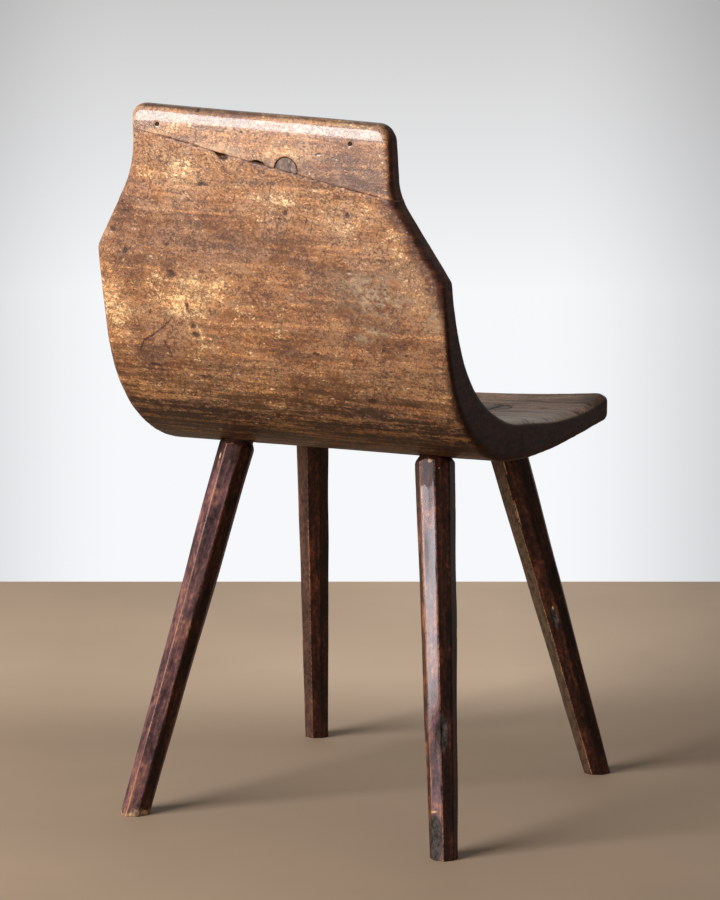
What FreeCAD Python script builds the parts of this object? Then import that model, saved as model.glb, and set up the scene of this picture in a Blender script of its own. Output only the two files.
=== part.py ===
import FreeCAD, Part
import Sketcher
import math
import os

# A primitive staked chair. Seat and back are one crook of timber with its grain running from side to side,
# a crest board is grafted on top of the back, and four faceted legs stand in wedged through mortises.
# Lengths are millimetres and angles degrees. X is across the chair, with the sitter's left at +X,
# Y runs from the front edge of the seat to the back, Z is up, and the feet stand at zero.

SIZES = {
    # Rear outline of the crook
    "neck_left": 149.6,
    "neck_right": 148.9,
    "shoulder_left": 202.1,
    "shoulder_right": 200.4,
    "top_left": 765,
    "top_fall": 7.5,
    "top_corner_radius_left": 12,
    "top_corner_radius_right": 18,
    "neck_drop_left": 62,
    "neck_drop_right": 74.5,
    "neck_radius_left": 130,
    "neck_radius_right": 50,
    "flare_height_left": 90,
    "flare_height_right": 84,
    "shoulder_radius": 10,
    # Side profile of the crook
    "end_over": 5,
    "blank_over": 11,
    "back_top_reach": 228.9,
    "top_wall": 21,
    "back_lean_angle": 5.8,
    "back_face_lean_angle": 8.3,
    "outer_shoulder_radius_share": 4.5,
    "outer_shoulder_angle": 6.4,
    "outer_bend_angle": 71.2,
    "belly_radius": 670,
    "belly_rise_angle": 4.5,
    "inner_shoulder_radius": 350,
    "inner_bend_radius": 162,
    "inner_bend_angle": 64,
    "seat_back_slope_angle": 7,
    "seat_front": 193.6,
    # The crook winds a little from end to end, and its seat is dished across the middle
    "seat_front_height": 432,
    "seat_front_drop_middle": 16,
    "seat_front_drop_left": 13,
    "seat_low_right": 98.6,
    "seat_low_middle": 138.6,
    "seat_low_left": 118.6,
    "seat_hollow_radius_right": 480,
    "seat_hollow_radius_middle": 800,
    "seat_hollow_radius_left": 640,
    "outer_bend_radius_right": 163,
    "outer_bend_radius_middle": 167,
    "outer_bend_radius_left": 174,
    "seat_front_wall_right": 31,
    "seat_front_wall_middle": 19.5,
    "seat_front_wall_left": 28,
    "front_corner_radius": 15,
    "rim_radius": 6.5,
    "worn_edge_angle": 35,
    # Crest board, its seam, and the part holes along the seam
    "crest_height_left": 25,
    "crest_height_right": 76,
    "seam_gap": 0.2,
    "crest_dowel_spread": 92,
    "crest_dowel_radius": 4,
    "crest_dowel_length": 40,
    "crest_dowel_chamfer": 1,
    "hole_depth": 12,
    "left_hole_across": 44.6,
    "left_hole_rise": 5,
    "left_hole_radius": 9,
    "middle_hole_across": 3.6,
    "middle_hole_drop": 8.9,
    "middle_hole_radius": 12.3,
    "plug_hole_across": -29.9,
    "plug_hole_rise": 1.4,
    "plug_hole_radius": 13.2,
    "plug_shrink": 0.9,
    "plug_recess": 0.8,
    "nail_head_radius": 2.2,
    "nail_head_thickness": 1,
    "nail_shank_radius": 1.3,
    "nail_length": 15,
    "left_nail_inset": 31.5,
    "left_nail_rise": 11.2,
    "right_nail_inset": 44,
    "right_nail_rise": 46.9,
    # Legs: where each foot stands, where its tenon comes up through the seat, and how stout it is
    "foot_across_front_left": 172.1,
    "foot_along_front_left": -208.6,
    "foot_across_front_right": -178.9,
    "foot_along_front_right": -212.15,
    "foot_across_rear_left": 181.1,
    "foot_along_rear_left": 177.4,
    "foot_across_rear_right": -188,
    "foot_along_rear_right": 175.9,
    "mortise_across_front_left": 115.6,
    "mortise_along_front_left": -95.6,
    "mortise_across_front_right": -101.9,
    "mortise_along_front_right": -109.6,
    "mortise_across_rear_left": 106.6,
    "mortise_along_rear_left": 58.4,
    "mortise_across_rear_right": -114.4,
    "mortise_along_rear_right": 58.4,
    "leg_width_front_left": 35,
    "leg_width_front_right": 40.5,
    "leg_width_rear_left": 37,
    "leg_width_rear_right": 40,
    "foot_width_front_left": 25,
    "foot_width_front_right": 26,
    "foot_width_rear_left": 28,
    "foot_width_rear_right": 26.5,
    "leg_turn_angle_front_left": -12,
    "leg_turn_angle_front_right": -18,
    "leg_turn_angle_rear_left": 20,
    "leg_turn_angle_rear_right": 5,
    "tenon_radius": 16,
    "tenon_proud": 0.4,
    "shoulder_length": 11,
    "shoulder_sink": 1,
    "shoulder_width_share": 0.6,
    "wedge_length": 26,
    "wedge_thickness": 4.4,
    "wedge_tip_thickness": 1,
    # Fits
    "fit": 0.15,
    "cut_overrun": 30,
}

# Sizes that follow from the ones above
WORKED_OUT = {
    "blank_top": "=top_left + blank_over",
    "end_section_right": "=shoulder_right + end_over",
    "end_section_left": "=shoulder_left + end_over",
    "top_right": "=top_left - top_fall",
    "seam_left": "=top_left - crest_height_left",
    "seam_right": "=top_right - crest_height_right",
    "neck_height_left": "=top_left - neck_drop_left",
    "neck_height_right": "=top_right - neck_drop_right",
    "shoulder_height_left": "=neck_height_left - flare_height_left",
    "shoulder_height_right": "=neck_height_right - flare_height_right",
    "outer_shoulder_radius": "=(top_left - seat_front_height) * outer_shoulder_radius_share",
    "seat_front_height_right": "=seat_front_height",
    "seat_front_height_middle": "=seat_front_height - seat_front_drop_middle",
    "seat_front_height_left": "=seat_front_height - seat_front_drop_left",
    "belly_front_height_right": "=seat_front_height_right - seat_front_wall_right",
    "belly_front_height_middle": "=seat_front_height_middle - seat_front_wall_middle",
    "belly_front_height_left": "=seat_front_height_left - seat_front_wall_left",
    "left_nail_across": "=neck_left - left_nail_inset",
    "right_nail_across": "=right_nail_inset - neck_right",
}

doc = FreeCAD.newDocument("staked_chair")
sheet = doc.addObject("Spreadsheet::Sheet", "Sizes")
named = []


def write_size(name, value):
    """Put one named value on the sheet, on a row of its own."""
    named.append(name)
    row = len(named)
    sheet.set(f"A{row}", name)
    sheet.set(f"B{row}", str(value))
    sheet.setAlias(f"B{row}", name)


for size_name, size_value in (SIZES | WORKED_OUT).items():
    write_size(size_name, size_value)
doc.recompute()


def size(name):
    return float(sheet.get(name))


def origin_plane(body, role):
    return next(f for f in body.Origin.OriginFeatures if f.Role == role)


def new_body(label):
    body = doc.addObject("PartDesign::Body", label)
    body.Label = label
    return body


def new_sketch(body, label, role):
    sketch = body.newObject("Sketcher::SketchObject", label)
    sketch.AttachmentSupport = [(origin_plane(body, role), "")]
    sketch.MapMode = "FlatFace"
    return sketch


def drive(sketch, constraint, expression):
    """Add a constraint whose value follows an expression on the named sizes."""
    index = sketch.addConstraint(constraint)
    sketch.setExpression(f"Constraints[{index}]", expression)
    return index


def pin_point(sketch, piece, end, across, up):
    """Place one end, or the centre, of a piece of a sketch by its distances from the origin."""
    place = sketch.getPoint(piece, end)
    drive(sketch, Sketcher.Constraint("DistanceX", -1, 1, piece, end, place.x), across)
    drive(sketch, Sketcher.Constraint("DistanceY", -1, 1, piece, end, place.y), up)


def heading_vector(degrees):
    return FreeCAD.Vector(math.cos(math.radians(degrees)), math.sin(math.radians(degrees)), 0)


def run_of(pieces, heading):
    """The way from a chain's start to its end. A piece is ("line", length) or ("arc", radius, turn)."""
    way = FreeCAD.Vector()
    for kind, amount, *turn in pieces:
        if kind == "line":
            way += heading_vector(heading) * amount
        else:
            side = math.copysign(90, turn[0])
            way += heading_vector(heading + side) * amount
            heading += turn[0]
            way -= heading_vector(heading + side) * amount
    return way


def draw_chain(sketch, start, heading, pieces):
    """Draw a tangent chain. Each piece is returned as its number, its first end and its last end."""
    drawn = []
    for kind, amount, *turn in pieces:
        if kind == "line":
            finish = start + heading_vector(heading) * amount
            number = sketch.addGeometry(Part.LineSegment(start, finish), False)
            ends = (1, 2)
        else:
            side = math.copysign(90, turn[0])
            centre = start + heading_vector(heading + side) * amount
            first = heading - side
            last = first + turn[0]
            circle = Part.Circle(centre, FreeCAD.Vector(0, 0, 1), amount)
            low, high = sorted((math.radians(first), math.radians(last)))
            number = sketch.addGeometry(Part.ArcOfCircle(circle, low, high), False)
            ends = (1, 2) if turn[0] > 0 else (2, 1)
            heading += turn[0]
            finish = centre + heading_vector(heading - side) * amount
        if drawn:
            before = drawn[-1]
            sketch.addConstraint(Sketcher.Constraint("Tangent", before[0], before[2], number, ends[0]))
        drawn.append((number, *ends))
        start = finish
    return drawn


def straights_between(way, pieces, heading):
    """The lengths of the two straight pieces of a chain that make it span the given way."""
    bare = [piece if piece[0] == "arc" else ("line", 0) for piece in pieces]
    left = way - run_of(bare, heading)
    turned = heading
    directions = []
    for kind, _, *turn in pieces:
        if kind == "line":
            directions.append(heading_vector(turned))
        else:
            turned += turn[0]
    a, b = directions
    cross = a.x * b.y - a.y * b.x
    return (left.x * b.y - left.y * b.x) / cross, (a.x * left.y - a.y * left.x) / cross


def draw_section(body, side, place):
    """One side profile of the crook: back, bend and seat, square to the grain."""
    sketch = new_sketch(body, f"section_{side}", "YZ_Plane")
    sketch.setExpression("AttachmentOffset.Base.z", place)
    doc.recompute()

    lean = size("back_lean_angle")
    shoulder = size("outer_shoulder_angle")
    bend = size("outer_bend_angle")
    rise = size("belly_rise_angle")
    outer_top = FreeCAD.Vector(size("back_top_reach"), size("blank_top"), 0)
    belly_front = FreeCAD.Vector(-size("seat_front"), size(f"belly_front_height_{side}"), 0)
    outer = [
        ("line", 0),
        ("arc", size("outer_shoulder_radius"), -shoulder),
        ("arc", size(f"outer_bend_radius_{side}"), -bend),
        ("arc", size("belly_radius"), -(90 + rise - lean - shoulder - bend)),
        ("line", 0),
    ]
    down = -90 - lean
    back_length, belly_length = straights_between(belly_front - outer_top, outer, down)
    outer[0] = ("line", back_length)
    outer[-1] = ("line", belly_length)
    outer = draw_chain(sketch, outer_top, down, outer)

    face_lean = size("back_face_lean_angle")
    slope = size("seat_back_slope_angle")
    inner_bend = size("inner_bend_angle")
    hollow = size(f"seat_hollow_radius_{side}")
    front_slope = math.degrees(math.asin((size("seat_front") - size(f"seat_low_{side}")) / hollow))
    seat_edge = FreeCAD.Vector(-size("seat_front"), size(f"seat_front_height_{side}"), 0)
    inner_top = outer_top - FreeCAD.Vector(size("top_wall"), 0, 0)
    inner = [
        ("arc", hollow, front_slope + slope),
        ("line", 0),
        ("arc", size("inner_bend_radius"), inner_bend),
        ("arc", size("inner_shoulder_radius"), 90 - face_lean - slope - inner_bend),
        ("line", 0),
    ]
    flat_length, face_length = straights_between(inner_top - seat_edge, inner, -front_slope)
    inner[1] = ("line", flat_length)
    inner[-1] = ("line", face_length)
    inner = draw_chain(sketch, seat_edge, -front_slope, inner)

    front = sketch.addGeometry(Part.LineSegment(belly_front, seat_edge), False)
    top = sketch.addGeometry(Part.LineSegment(inner_top, outer_top), False)
    for piece, end, other, other_end in (
        (outer[-1][0], outer[-1][2], front, 1),
        (front, 2, inner[0][0], inner[0][1]),
        (inner[-1][0], inner[-1][2], top, 1),
        (top, 2, outer[0][0], outer[0][1]),
    ):
        sketch.addConstraint(Sketcher.Constraint("Coincident", piece, end, other, other_end))

    def angle_of(piece, degrees, expression):
        drive(sketch, Sketcher.Constraint("Angle", piece, math.radians(degrees)), expression)

    def radius_of(piece, name):
        drive(sketch, Sketcher.Constraint("Radius", piece, size(name)), f"Sizes.{name}")

    pin_point(sketch, outer[0][0], outer[0][1], "Sizes.back_top_reach", "Sizes.blank_top")
    angle_of(outer[0][0], down, "(-90 - Sizes.back_lean_angle) * 1 deg")
    radius_of(outer[1][0], "outer_shoulder_radius")
    angle_of(outer[1][0], shoulder, "Sizes.outer_shoulder_angle * 1 deg")
    radius_of(outer[2][0], f"outer_bend_radius_{side}")
    angle_of(outer[2][0], bend, "Sizes.outer_bend_angle * 1 deg")
    radius_of(outer[3][0], "belly_radius")
    angle_of(outer[4][0], 180 - rise, "(180 - Sizes.belly_rise_angle) * 1 deg")
    pin_point(sketch, front, 1, "-Sizes.seat_front", f"Sizes.belly_front_height_{side}")

    pin_point(sketch, front, 2, "-Sizes.seat_front", f"Sizes.seat_front_height_{side}")
    radius_of(inner[0][0], f"seat_hollow_radius_{side}")
    low = sketch.getPoint(inner[0][0], 3)
    drive(sketch, Sketcher.Constraint("DistanceX", -1, 1, inner[0][0], 3, low.x), f"-Sizes.seat_low_{side}")
    angle_of(inner[1][0], slope, "Sizes.seat_back_slope_angle * 1 deg")
    radius_of(inner[2][0], "inner_bend_radius")
    angle_of(inner[2][0], inner_bend, "Sizes.inner_bend_angle * 1 deg")
    radius_of(inner[3][0], "inner_shoulder_radius")
    angle_of(inner[4][0], 90 - face_lean, "(90 - Sizes.back_face_lean_angle) * 1 deg")
    pin_point(sketch, top, 1, "Sizes.back_top_reach - Sizes.top_wall", "Sizes.blank_top")
    return sketch


def place_by(thing, expression):
    """Bind the place and turn of a body to the named sizes."""
    thing.setExpression("Placement", expression)


def value_of(sketch, expression):
    """The value of an expression, worked out on the sheet's numbers."""
    result = sketch.evalExpression(expression)
    return float(getattr(result, "Value", result))


def draw_outline(sketch, corners):
    """Draw a closed outline through virtual corners (across, up, radius). A radius of None stays sharp."""
    points = []
    for across, up, _ in corners:
        points.append(FreeCAD.Vector(value_of(sketch, across), value_of(sketch, up), 0))
    count = len(points)
    joints = []
    for index, (_, _, radius) in enumerate(corners):
        here = points[index]
        back = (points[index - 1] - here).normalize()
        ahead = (points[(index + 1) % count] - here).normalize()
        if radius is None:
            joints.append((here, here, None))
            continue
        half = back.getAngle(ahead) / 2
        round_size = value_of(sketch, radius)
        reach = round_size / math.tan(half)
        centre = here + (back + ahead).normalize() * (round_size / math.sin(half))
        joints.append((here + back * reach, here + ahead * reach, centre))
    lines = []
    for index in range(count):
        start = joints[index][1]
        finish = joints[(index + 1) % count][0]
        lines.append(sketch.addGeometry(Part.LineSegment(start, finish), False))
    for index, (across, up, radius) in enumerate(corners):
        before = lines[index - 1]
        after = lines[index]
        if radius is None:
            sketch.addConstraint(Sketcher.Constraint("Coincident", before, 2, after, 1))
            pin_point(sketch, after, 1, across, up)
            continue
        start, finish, centre = joints[index]
        first = (start - centre).normalize()
        last = (finish - centre).normalize()
        left_turn = first.cross(last).z > 0
        low, high = (first, last) if left_turn else (last, first)
        low = math.atan2(low.y, low.x)
        high = math.atan2(high.y, high.x)
        if high < low:
            high += 2 * math.pi
        round_size = value_of(sketch, radius)
        circle = Part.Circle(centre, FreeCAD.Vector(0, 0, 1), round_size)
        arc = sketch.addGeometry(Part.ArcOfCircle(circle, low, high), False)
        ends = (1, 2) if left_turn else (2, 1)
        sketch.addConstraint(Sketcher.Constraint("Tangent", before, 2, arc, ends[0]))
        sketch.addConstraint(Sketcher.Constraint("Tangent", arc, ends[1], after, 1))
        drive(sketch, Sketcher.Constraint("Radius", arc, round_size), radius)
        corner = sketch.addGeometry(Part.Point(points[index]), True)
        pin_point(sketch, corner, 1, across, up)
        sketch.addConstraint(Sketcher.Constraint("PointOnObject", corner, 1, before))
        sketch.addConstraint(Sketcher.Constraint("PointOnObject", corner, 1, after))


def draw_circle(sketch, radius):
    value = value_of(sketch, radius)
    number = sketch.addGeometry(Part.Circle(FreeCAD.Vector(), FreeCAD.Vector(0, 0, 1), value), False)
    sketch.addConstraint(Sketcher.Constraint("Coincident", number, 3, -1, 1))
    drive(sketch, Sketcher.Constraint("Radius", number, value), radius)


def add_feature(body, kind, label, profile):
    feature = body.newObject(kind, label)
    feature.Profile = profile
    return feature


def cut_through(body, label, profile):
    """Cut a profile right through the body, both ways from its sketch, and see that wood came away."""
    before = body.Shape.Volume
    pocket = add_feature(body, "PartDesign::Pocket", label, profile)
    pocket.SideType = "Symmetric"
    pocket.Type = "ThroughAll"
    doc.recompute()
    if body.Shape.Volume >= before:
        raise ValueError(f"{label} cut nothing")


def is_sharp(shape, edge):
    """True where the two faces along an edge meet at a plain corner."""
    faces = shape.ancestorsOfType(edge, Part.Face)
    if len(faces) != 2:
        return False
    middle = edge.valueAt((edge.FirstParameter + edge.LastParameter) / 2)
    normals = [face.normalAt(*face.Surface.parameter(middle)) for face in faces]
    return math.degrees(normals[0].getAngle(normals[1])) > size("worn_edge_angle")


def round_edges(body, label, radius, wanted):
    """Fillet the edges of the body that pass the test."""
    base = body.Tip
    names = [f"Edge{number}" for number, edge in enumerate(base.Shape.Edges, 1) if wanted(base.Shape, edge)]
    fillet = body.newObject("PartDesign::Fillet", label)
    fillet.Base = (base, names)
    fillet.setExpression("Radius", radius)
    doc.recompute()


def hew_crook(body):
    """Lay out and hew the crook: profile, rear outline, front corners and worn rims."""
    right = draw_section(body, "right", "-Sizes.end_section_right")
    middle = draw_section(body, "middle", "0")
    left = draw_section(body, "left", "Sizes.end_section_left")
    loft = add_feature(body, "PartDesign::AdditiveLoft", "crook", right)
    loft.Sections = [middle, left]
    doc.recompute()

    outline = new_sketch(body, "rear_outline", "XZ_Plane")
    waste = "Sizes.end_section_left + Sizes.end_section_right"
    draw_outline(
        outline,
        [
            (f"-({waste})", "-Sizes.cut_overrun", None),
            (waste, "-Sizes.cut_overrun", None),
            (waste, "Sizes.blank_top + Sizes.cut_overrun", None),
            (f"-({waste})", "Sizes.blank_top + Sizes.cut_overrun", None),
        ],
    )
    draw_outline(
        outline,
        [
            ("Sizes.shoulder_left", "0", None),
            ("Sizes.shoulder_left", "Sizes.shoulder_height_left", "Sizes.shoulder_radius"),
            ("Sizes.neck_left", "Sizes.neck_height_left", "Sizes.neck_radius_left"),
            ("Sizes.neck_left", "Sizes.top_left", "Sizes.top_corner_radius_left"),
            ("-Sizes.neck_right", "Sizes.top_right", "Sizes.top_corner_radius_right"),
            ("-Sizes.neck_right", "Sizes.neck_height_right", "Sizes.neck_radius_right"),
            ("-Sizes.shoulder_right", "Sizes.shoulder_height_right", "Sizes.shoulder_radius"),
            ("-Sizes.shoulder_right", "0", None),
        ],
    )
    doc.recompute()
    cut_through(body, "sawn_outline", outline)

    def at_front_corner(shape, edge):
        ends = [vertex.Point for vertex in edge.Vertexes]
        at_front = all(abs(point.y + size("seat_front")) < size("fit") for point in ends)
        upright = abs(ends[0].x - ends[1].x) < size("fit") < abs(ends[0].z - ends[1].z)
        return at_front and upright

    round_edges(body, "front_corners", "Sizes.front_corner_radius", at_front_corner)
    round_edges(body, "rims", "Sizes.rim_radius", is_sharp)


def seam_height(across):
    """The height of the seam, which falls in a straight line to the sitter's right."""
    fall = "(Sizes.seam_left - Sizes.seam_right) / (Sizes.neck_left + Sizes.neck_right)"
    return f"(Sizes.seam_left + ({across} - Sizes.neck_left) * {fall})"


def cut_at_seam(body, label, keep):
    """Saw the crook along the seam and keep the wood below it, or the crest above it."""
    waste = "(Sizes.end_section_left + Sizes.end_section_right)"
    sign = "-" if keep == "below" else "+"
    far = "Sizes.blank_top + Sizes.cut_overrun" if keep == "below" else "0"
    sketch = new_sketch(body, f"{label}_line", "XZ_Plane")
    draw_outline(
        sketch,
        [
            (f"-{waste}", f"{seam_height('-' + waste)} {sign} Sizes.seam_gap / 2", None),
            (waste, f"{seam_height(waste)} {sign} Sizes.seam_gap / 2", None),
            (waste, far, None),
            (f"-{waste}", far, None),
        ],
    )
    cut_through(body, label, sketch)


def back_frame(across, up):
    """A place on the rear face of the back, with its own Z pointing straight out of the wood."""
    along = f"Sizes.back_top_reach - (Sizes.blank_top - ({up})) * tan(Sizes.back_lean_angle * 1 deg)"
    turn = "rotation(vector(1; 0; 0); (-90 - Sizes.back_lean_angle) * 1 deg)"
    return f"placement(vector({across}; {along}; {up}); {turn})"


def sketch_in_frame(body, label, frame, lift="0"):
    """A sketch square to the Z of a frame and lifted along it."""
    sketch = new_sketch(body, label, "XY_Plane")
    lifted = f"placement(vector(0; 0; {lift}); rotation(0; 0; 0))"
    sketch.setExpression("AttachmentOffset", f"{frame} * {lifted}")
    return sketch


def bore(body, label, frame, radius, floor):
    """Bore a round hole from its floor out through the face of the frame."""
    sketch = sketch_in_frame(body, f"{label}_circle", frame, f"-({floor})")
    draw_circle(sketch, radius)
    before = body.Shape.Volume
    pocket = add_feature(body, "PartDesign::Pocket", label, sketch)
    pocket.Reversed = True
    pocket.setExpression("Length", f"{floor} + Sizes.cut_overrun")
    doc.recompute()
    if body.Shape.Volume >= before:
        raise ValueError(f"{label} cut nothing")


# The part holes lie along the seam. One is left in the crook and two in the crest board.
def part_hole(which, up):
    """The place of a part hole, from how far across it lies and how far over the seam."""
    across = f"Sizes.{which}_hole_across"
    return across, f"{seam_height(across)} + {up}"


LEFT_HOLE = part_hole("left", "Sizes.left_hole_rise")
MIDDLE_HOLE = part_hole("middle", "-Sizes.middle_hole_drop")
PLUG_HOLE = part_hole("plug", "Sizes.plug_hole_rise")


def dowel_frame(side):
    """The middle of a hidden dowel across the seam, with its Z leaning as the middle of the wall does."""
    across = f"{side} * Sizes.crest_dowel_spread"
    up = seam_height(across)
    drop = f"(Sizes.blank_top - {up})"
    outer = f"{drop} * tan(Sizes.back_lean_angle * 1 deg)"
    inner = f"Sizes.top_wall + {drop} * tan(Sizes.back_face_lean_angle * 1 deg)"
    lean = "(Sizes.back_lean_angle + Sizes.back_face_lean_angle) / 2"
    along = f"Sizes.back_top_reach - ({outer} + {inner}) / 2"
    return f"placement(vector({across}; {along}; {up}); rotation(vector(1; 0; 0); -({lean}) * 1 deg))"


def bore_dowels(body):
    """The blind bores for the two dowels, open at the seam."""
    for side in DOWEL_SIDES:
        sketch = sketch_in_frame(body, f"dowel_circle_{side}", dowel_frame(DOWEL_SIDES[side]))
        draw_circle(sketch, "Sizes.crest_dowel_radius + Sizes.fit")
        pocket = add_feature(body, "PartDesign::Pocket", f"dowel_bore_{side}", sketch)
        pocket.SideType = "Symmetric"
        pocket.setExpression("Length", "Sizes.crest_dowel_length + 2 * Sizes.fit")
        doc.recompute()


def turn_out(body, label, frame, half_outline):
    """Turn a hollow about the Z of a frame from half its outline, and see that wood came away."""
    upright = "placement(vector(0; 0; 0); rotation(vector(1; 0; 0); 90 deg))"
    sketch = new_sketch(body, f"{label}_outline", "XY_Plane")
    sketch.setExpression("AttachmentOffset", f"{frame} * {upright}")
    draw_outline(sketch, half_outline)
    before = body.Shape.Volume
    groove = add_feature(body, "PartDesign::Groove", label, sketch)
    groove.ReferenceAxis = (sketch, ["V_Axis"])
    doc.recompute()
    if body.Shape.Volume >= before:
        raise ValueError(f"{label} cut nothing")


DOWEL_SIDES = {"left": 1, "right": -1}
LEGS = ("front_left", "front_right", "rear_left", "rear_right")


def leg_run(corner):
    """How far a leg leans across and along the chair, and how high it climbs, from floor to seat top."""
    across = f"(Sizes.mortise_across_{corner} - Sizes.foot_across_{corner})"
    along = f"(Sizes.mortise_along_{corner} - Sizes.foot_along_{corner})"
    return across, along, f"Sizes.seat_height_{corner}"


def leg_frame(corner):
    """The foot of a leg on the floor, with Z running up the middle of the leg."""
    across, along, up = leg_run(corner)
    foot = f"vector(Sizes.foot_across_{corner}; Sizes.foot_along_{corner}; 0)"
    lean = f"rotation(vector(-{along}; {across}; 0); atan2(hypot({across}; {along}); {up}))"
    return f"placement({foot}; {lean})"


def leg_length(corner):
    return "hypot({}; {}; {})".format(*leg_run(corner))


def leg_neck(corner):
    """How far up a leg its tenon starts, a little inside the seat."""
    return f"({leg_length(corner)} - Sizes.seat_depth_{corner} + Sizes.shoulder_sink)"


def saw_off(body, label, corner, lift, slope, keep):
    """Saw a leg or wedge off square across the chair, with the cut rising to the back by the slope."""
    across, along, up = leg_run(corner)
    level = f"rotation(vector(-{along}; {across}; 0); -atan2(hypot({across}; {along}); {up}))"
    rising = f"rotation(vector(1; 0; 0); {slope} * 1 deg)"
    sketch = new_sketch(body, f"{label}_line", "XY_Plane")
    sketch.setExpression("AttachmentOffset", f"placement(vector(0; 0; {lift}); {level} * {rising})")
    draw_circle(sketch, f"Sizes.leg_width_{corner} + Sizes.cut_overrun")
    before = body.Shape.Volume
    pocket = add_feature(body, "PartDesign::Pocket", label, sketch)
    pocket.Type = "ThroughAll"
    pocket.Reversed = keep == "below"
    doc.recompute()
    if body.Shape.Volume >= before:
        raise ValueError(f"{label} cut nothing")


crook = new_body("hewn_crook")
hew_crook(crook)


def seat_top(across, along):
    """The place on top of the hewn seat over a place on the floor."""
    above = FreeCAD.Vector(across, along, size("blank_top"))
    plumb = Part.makeLine(FreeCAD.Vector(across, along, 0), above)
    return FreeCAD.Vector(across, along, max(vertex.Z for vertex in crook.Shape.common(plumb).Vertexes))


# The hewn seat is probed where each leg comes through: its height, its rise to the back, and the
# wood on the leg's line
for corner in LEGS:
    foot = FreeCAD.Vector(size(f"foot_across_{corner}"), size(f"foot_along_{corner}"), 0)
    across = size(f"mortise_across_{corner}")
    along = size(f"mortise_along_{corner}")
    top = seat_top(across, along)
    rise = seat_top(across, along + size("tenon_radius")) - seat_top(across, along - size("tenon_radius"))
    write_size(f"seat_height_{corner}", top.z)
    write_size(f"seat_rise_angle_{corner}", math.degrees(math.atan2(rise.z, rise.y)))
    write_size(f"seat_depth_{corner}", crook.Shape.common(Part.makeLine(foot, top)).Length)
doc.recompute()

shell = new_body("seat_back_shell")
shell.BaseFeature = crook
doc.recompute()
cut_at_seam(shell, "seam_cut", "below")
bore(shell, "left_hole", back_frame(*LEFT_HOLE), "Sizes.left_hole_radius", "Sizes.hole_depth")
bore_dowels(shell)
for corner in LEGS:
    circle = sketch_in_frame(shell, f"mortise_circle_{corner}", leg_frame(corner))
    draw_circle(circle, "Sizes.tenon_radius + Sizes.fit")
    cut_through(shell, f"mortise_{corner}", circle)
    neck = leg_neck(corner)
    below = f"{neck} - Sizes.shoulder_length"
    full = f"Sizes.shoulder_width_share * Sizes.leg_width_{corner} + Sizes.fit"
    mouth = [
        ("0", neck, None),
        ("Sizes.tenon_radius + Sizes.fit", neck, None),
        (full, below, None),
        (full, f"{below} - Sizes.cut_overrun", None),
        ("0", f"{below} - Sizes.cut_overrun", None),
    ]
    turn_out(shell, f"mortise_mouth_{corner}", leg_frame(corner), mouth)

crest = new_body("crest_board")
crest.BaseFeature = crook
doc.recompute()
cut_at_seam(crest, "seam_cut", "above")
bore(crest, "middle_hole", back_frame(*MIDDLE_HOLE), "Sizes.middle_hole_radius", "Sizes.hole_depth")
bore(crest, "plug_hole", back_frame(*PLUG_HOLE), "Sizes.plug_hole_radius", "Sizes.hole_depth")
bore_dowels(crest)


def half_nail(slack):
    """Half the outline of a nail, head flush with the wood and shank running in."""
    return [
        ("0", "0", None),
        (f"Sizes.nail_head_radius + {slack}", "0", None),
        (f"Sizes.nail_head_radius + {slack}", f"-Sizes.nail_head_thickness - {slack}", None),
        (f"Sizes.nail_shank_radius + {slack}", f"-Sizes.nail_head_thickness - {slack}", None),
        (f"Sizes.nail_shank_radius / 2 + {slack}", f"-Sizes.nail_length - {slack}", None),
        ("0", f"-Sizes.nail_length - {slack}", None),
    ]


for side in DOWEL_SIDES:
    across = f"Sizes.{side}_nail_across"
    place = back_frame(across, f"{seam_height(across)} + Sizes.{side}_nail_rise")
    nail = new_body(f"crest_nail_{side}")
    outline = new_sketch(nail, "nail_outline", "XZ_Plane")
    draw_outline(outline, half_nail("0"))
    turned = add_feature(nail, "PartDesign::Revolution", "turned_nail", outline)
    turned.ReferenceAxis = (outline, ["V_Axis"])
    place_by(nail, place)
    turn_out(crest, f"nail_hole_{side}", place, half_nail("Sizes.fit"))

plug = new_body("hole_plug")
circle = new_sketch(plug, "plug_circle", "XY_Plane")
circle.setExpression("AttachmentOffset.Base.z", "-Sizes.hole_depth")
draw_circle(circle, "Sizes.plug_hole_radius - Sizes.plug_shrink")
pad = add_feature(plug, "PartDesign::Pad", "plug_round", circle)
pad.setExpression("Length", "Sizes.hole_depth - Sizes.plug_recess")
doc.recompute()
chord = new_sketch(plug, "plug_chord", "XY_Plane")
fall = "atan2(Sizes.seam_left - Sizes.seam_right; Sizes.neck_left + Sizes.neck_right)"
chord.setExpression("AttachmentOffset", f"placement(vector(0; 0; 0); rotation(vector(0; 0; 1); -{fall}))")
reach = "(Sizes.plug_hole_radius + Sizes.cut_overrun)"
lower = f"Sizes.plug_hole_rise * cos({fall})"
draw_outline(
    chord,
    [(f"-{reach}", lower, None), (reach, lower, None), (reach, reach, None), (f"-{reach}", reach, None)],
)
cut_through(plug, "plug_flat", chord)
place_by(plug, back_frame(*PLUG_HOLE))

for side, sign in DOWEL_SIDES.items():
    dowel = new_body(f"crest_dowel_{side}")
    circle = new_sketch(dowel, "dowel_circle", "XY_Plane")
    draw_circle(circle, "Sizes.crest_dowel_radius")
    pad = add_feature(dowel, "PartDesign::Pad", "dowel_rod", circle)
    pad.SideType = "Symmetric"
    pad.setExpression("Length", "Sizes.crest_dowel_length")
    doc.recompute()
    chamfer = dowel.newObject("PartDesign::Chamfer", "eased_ends")
    rims = [f"Edge{n}" for n, edge in enumerate(pad.Shape.Edges, 1) if len(edge.Vertexes) == 1]
    chamfer.Base = (pad, rims)
    chamfer.setExpression("Size", "Sizes.crest_dowel_chamfer")
    place_by(dowel, dowel_frame(sign))

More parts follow.
